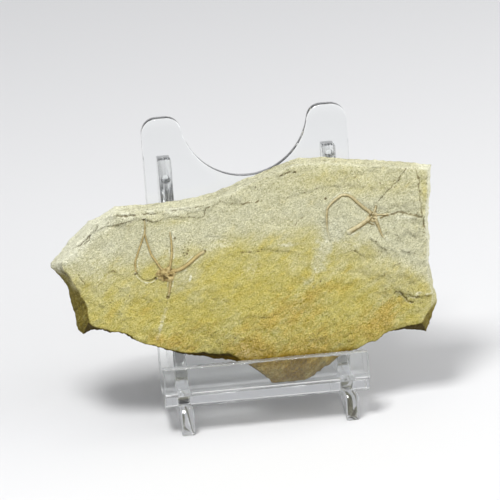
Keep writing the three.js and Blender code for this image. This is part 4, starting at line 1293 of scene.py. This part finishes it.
def limestone():
    """Fine limestone: cream, stained yellow, gold, green and rust and made pale by the stored fields, which
    hold worn places and painted highlights, each broken up by noise, with specks. The broken edge is the same
    stone, paler where it is fresh, browner elsewhere, with thin beds, and darkened where it faces down as
    painted shade. The foot is browned as painted shade under the acrylic lip. Dark cracks, pits and stains,
    painted shade at steps and grooves, and a grain that multiplies the colour lie over all of it."""
    g = Graph("limestone")
    streaks = g.place((2.2, 1.0, 1.0), GRAIN_TURN)
    cloud = g.noise(0.11 * PER_MM, 3, 0.5)
    blotch = g.noise(0.36 * PER_MM, 2, 0.6, streaks)
    mottle = g.noise(1.2 * PER_MM, 3, 0.7, streaks)
    grain = g.noise(2.4 * PER_MM, 2, 0.7, g.place((1.6, 1.0, 1.0), GRAIN_TURN))
    fine = g.noise(4.0 * PER_MM, 1, 0.5)
    stain = g.field("yellow")
    spread = (cloud - 0.5) * 0.6 + (blotch - 0.5) * 0.9 + (mottle - 0.5) * 0.25
    yellow = (stain + spread * (0.35 + stain * 0.75)).between(-0.15, 1.0)
    gold = (stain * 0.8 + (blotch - 0.5) * 2.0 + (mottle - 0.5) * 0.6).between(0.4, 1.4)
    rust = (g.field("rust") + (mottle - 0.5) * 0.7 + (blotch - 0.5) * 1.5).between(0.15, 1.15)
    green = ((0.5 - blotch) * 2.0 + (0.5 - mottle) * 0.5).between(0.02, 0.8) * (0.12 + stain * 0.4)
    pale = (g.field("pale") + (grain - 0.5) * 0.4 + (mottle - 0.5) * 0.6).between(0.15, 0.95)
    base = g.mix(yellow, CREAM, YELLOW)
    base = g.mix(green, base, GREY_GREEN)
    base = g.mix(gold * 0.44, base, GOLD)
    base = g.mix(rust * 0.7, base, RUST)
    # worn places and painted highlights
    base = g.mix(pale * 0.85, base, BONE_AND_HIGHLIGHT)
    speck = g.noise(2.2 * PER_MM, 1, 0.5, g.place((1, 1, 1), (0.4, 0.3, 0.2)))
    speckled = (speck + g.field("specks") * 0.04).between(0.68, 0.75) * (0.3 + g.field("specks") * 0.7)
    base = g.mix(speckled * 0.75, base, EARTH_AND_SHADE)

    across_beds = g.place((16.0, 16.0, 1.0), (math.pi / 2 - LEAN, 0, 0))
    thin_beds = g.noise(1.4 * PER_MM, 3, 0.65, across_beds)
    fresh = (g.field("fresh") + (blotch - 0.5) * 0.9).between(0.1, 0.9)
    edge = g.mix(fresh * 0.3, base, CHALK)
    joints = (1 - thin_beds).between(0.54, 0.66)
    edge = g.mix(joints * (0.6 - fresh * 0.25) * (1 - pale * 0.75), edge, BROWN)
    edge = g.mix((1 - fresh) * 0.8, edge, BROWN)
    edge = g.mix((1 - fresh) * mottle.between(0.5, 0.68) * 0.5, edge, GREY_GREEN)
    edge = g.mix(g.field("near_face") * fresh * 0.15, edge, BONE_AND_HIGHLIGHT)
    # painted shade on the walls that face down
    edge = g.mix(g.field("under") * (1 - fresh) * 0.92, edge, EARTH_AND_SHADE)
    edge = g.mix(speck.between(0.62, 0.72) * (1 - pale * 0.75) * 0.45, edge, EARTH_AND_SHADE)
    base = g.mix(g.field("on_face"), edge, base)
    # painted shade on the foot, under the acrylic lip, broken up by noise
    clouded = (blotch * 0.6 + mottle * 0.4).between(0.4, 0.58)
    base = g.mix(g.field("foot") * (0.45 + clouded * 0.55), base, LIP_SHADE_SIENNA)
    # dark cracks, pits and stains, and painted shade at steps, flakes, moulds and beside arms
    crisp = (g.field("dark") + (grain - 0.5)).between(0.27, 0.52)
    base = g.mix(crisp * 0.72, base, UMBER)
    coarse = g.field("rust")  # rusty stone is coarser
    shade = (grain - 0.5) * (1.5 - stain * 0.4 + coarse * 0.8) + (fine - 0.5) * (0.9 + coarse * 0.5)
    shade = (shade + (mottle - 0.5) * (0.22 + coarse * 0.7)) * (1 - pale * 0.3)
    blue = 1 + shade * (1.15 + stain * 0.75)  # the grain's dark side is yellower
    tone = g.node("ShaderNodeCombineColor", {}, {"Red": 1 + shade, "Green": 1 + shade, "Blue": blue})
    base = g.mix(1.0, base, tone["Color"], "MULTIPLY")

    relief = grain * 0.6 + fine * 0.3 + mottle * (0.52 + coarse * 0.6)
    bump = g.bump(relief, 0.9)
    roughness = 0.82 + grain * 0.16
    return g.surface(Base_Color=base, Roughness=roughness, Normal=bump, Specular_IOR_Level=0.12)


def fossil(name, main, light, deep, fade):
    """Calcite of a fossil: its main tint, deeper low down as painted shade and in its creases, light on the
    crest and the lit flank as a painted highlight, and fading by the share in fade to the stone's own colour
    at worn ends."""
    g = Graph(name)
    fine = g.noise(3.0 * PER_MM, 3, 0.65)
    patches = g.noise(0.8 * PER_MM, 2, 0.5)
    painted_light = g.field("painted_light")
    # painted shade low down, painted highlight on the crest and the lit flank
    base = g.mix(painted_light.between(0.0, 0.75), deep, main)
    base = g.mix((painted_light * 0.6 + patches * 0.8).between(0.6, 1.15) * 0.85, base, light)
    base = g.mix((1 - fine).between(0.5, 0.75) * 0.35, base, deep)
    base = g.mix(g.field("wear") * fade, base, CREAM)
    bump = g.bump(fine, 0.05, 0.5)
    return g.surface(Base_Color=base, Roughness=0.6 + fine * 0.25, Normal=bump, Specular_IOR_Level=0.4)


def acrylic():
    """Clear acrylic: plain transmission, with faint hand marks in its polish. The lip's sawn edge glitters at
    the back."""
    g = Graph("clear_acrylic")
    smear = g.noise(0.09 * PER_MM, 4, 0.6)
    sawn = g.field("sawn")
    cuts = g.noise(2.6 * PER_MM, 2, 0.7)
    bump = g.bump(cuts * sawn, 1.2)
    return g.surface(
        Base_Color=colour(0.982, 0.992, 0.99),
        Roughness=smear.between(0.55, 0.85) * 0.035 + sawn * cuts.between(0.4, 0.6) * 0.3,
        IOR=1.49,
        Transmission_Weight=1.0,
        Normal=bump,
    )


def floor_paper():
    """Plain pale matt paper."""
    g = Graph("floor_paper")
    fine = g.noise(0.5 * PER_MM, 2, 0.5)
    base = g.mix(fine * 0.15, colour(0.70, 0.70, 0.70), colour(0.66, 0.66, 0.665))
    return g.surface(Base_Color=base, Roughness=0.9)


# ---------------------------------------------------------------- the pieces

STONE = limestone()
ACRYLIC = acrylic()


def dress(piece, material, slot, *nodes):
    """Gives a piece its finish, hides the model's nodes that it stands for, and fixes it to the one body."""
    piece.data.materials.append(material)
    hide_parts(*nodes)
    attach(piece, "root")


dress(slab(), STONE, "limestone", "slab")
dress(
    brittle_star("fossil_star_left", LEFT_STAR),
    fossil("fossil_left", TAN, FAWN, SEPIA, fade=0.3),
    "fossil_calcite",
    "brittle_star_left",
)
dress(
    brittle_star("fossil_star_right", RIGHT_STAR),
    fossil("fossil_right", DUN, IVORY, OLIVE, fade=0.8),
    "fossil_calcite",
    "brittle_star_right",
)
dress(sheet_piece(), ACRYLIC, "clear_acrylic", "easel_plate")
dress(leg("easel_fin_left", side=-1, bubble_drop=6), ACRYLIC, "clear_acrylic", "easel_leg_left")
dress(leg("easel_fin_right", side=1, bubble_drop=2.6), ACRYLIC, "clear_acrylic", "easel_leg_right")

# ---------------------------------------------------------------- floor, lights and camera

FLOOR_HALF = 1.5
floor_corners = [(x * FLOOR_HALF, y * FLOOR_HALF, 0) for x, y in ((-1, -1), (1, -1), (1, 1), (-1, 1))]
floor_mesh = bpy.data.meshes.new("floor")
floor_mesh.from_pydata(floor_corners, [], [(0, 1, 2, 3)])
floor = bpy.data.objects.new("floor", floor_mesh)
bpy.context.collection.objects.link(floor)
floor_mesh.materials.append(floor_paper())


def soft_light(name, place, aim, size, watts):
    """A square soft light that faces a point."""
    data = bpy.data.lights.new(name, "AREA")
    data.shape = "SQUARE"
    data.size = size
    data.energy = watts
    lamp = bpy.data.objects.new(name, data)
    bpy.context.collection.objects.link(lamp)
    place = np.array(place)
    back = unit(place - np.array(aim))
    side = unit(np.cross((0, 1, 0.01), back))
    turn = np.column_stack([side, np.cross(back, side), back])
    lamp.matrix_world = Matrix.Translation(place) @ Matrix(turn.tolist()).to_4x4()


AIM = (0, 0, 0.045)
soft_light("key_light", (-0.15, -0.20, 0.68), AIM, size=0.19, watts=3.95)
soft_light("right_fill", (0.7, -0.5, 0.4), AIM, size=0.6, watts=2.3)
soft_light("rim_light", (0.6, 0.04, 0.3), AIM, size=0.35, watts=1.6)

world = bpy.data.worlds.new("studio")
bpy.context.scene.world = world
world.use_nodes = True
sky = world.node_tree.nodes["Background"].inputs
sky["Color"].default_value = (0.95, 0.96, 1.0, 1)
sky["Strength"].default_value = 0.48

# The camera stands to the left, above and far off, and is rolled a little clockwise.
CAMERA_TARGET = (-2.07, 0.0, 42.85)  # from the ledge's inner corner, in millimetres
CAMERA_AZIMUTH = math.radians(-4.94)
CAMERA_ELEVATION = math.radians(25.0)
CAMERA_ROLL = math.radians(3.10)
CAMERA_DISTANCE = 1.1213
CAMERA_LENS = 268.7
SENSOR_WIDTH = 36

target = np.array(CAMERA_TARGET) * MM + [SHIFT_X, SHIFT_Y, LEDGE_LIFT * MM]
back = np.array([
    math.sin(CAMERA_AZIMUTH) * math.cos(CAMERA_ELEVATION),
    -math.cos(CAMERA_AZIMUTH) * math.cos(CAMERA_ELEVATION),
    math.sin(CAMERA_ELEVATION),
])
level = np.array([math.cos(CAMERA_AZIMUTH), math.sin(CAMERA_AZIMUTH), 0])
upright = np.cross(back, level)
right = math.cos(CAMERA_ROLL) * level - math.sin(CAMERA_ROLL) * upright
up = math.sin(CAMERA_ROLL) * level + math.cos(CAMERA_ROLL) * upright
camera_data = bpy.data.cameras.new("camera")
camera_data.lens = CAMERA_LENS
camera_data.sensor_width = SENSOR_WIDTH
camera_data.clip_end = 20
camera = bpy.data.objects.new("camera", camera_data)
bpy.context.collection.objects.link(camera)
turn = np.column_stack([right, up, back])
camera.matrix_world = Matrix.Translation(target + back * CAMERA_DISTANCE) @ Matrix(turn.tolist()).to_4x4()
bpy.context.scene.camera = camera
bpy.context.scene.view_settings.view_transform = "Standard"
cycles = bpy.context.scene.cycles
cycles.max_bounces = 24  # clear plastic passes light on many times
cycles.glossy_bounces = 16
cycles.transmission_bounces = 24
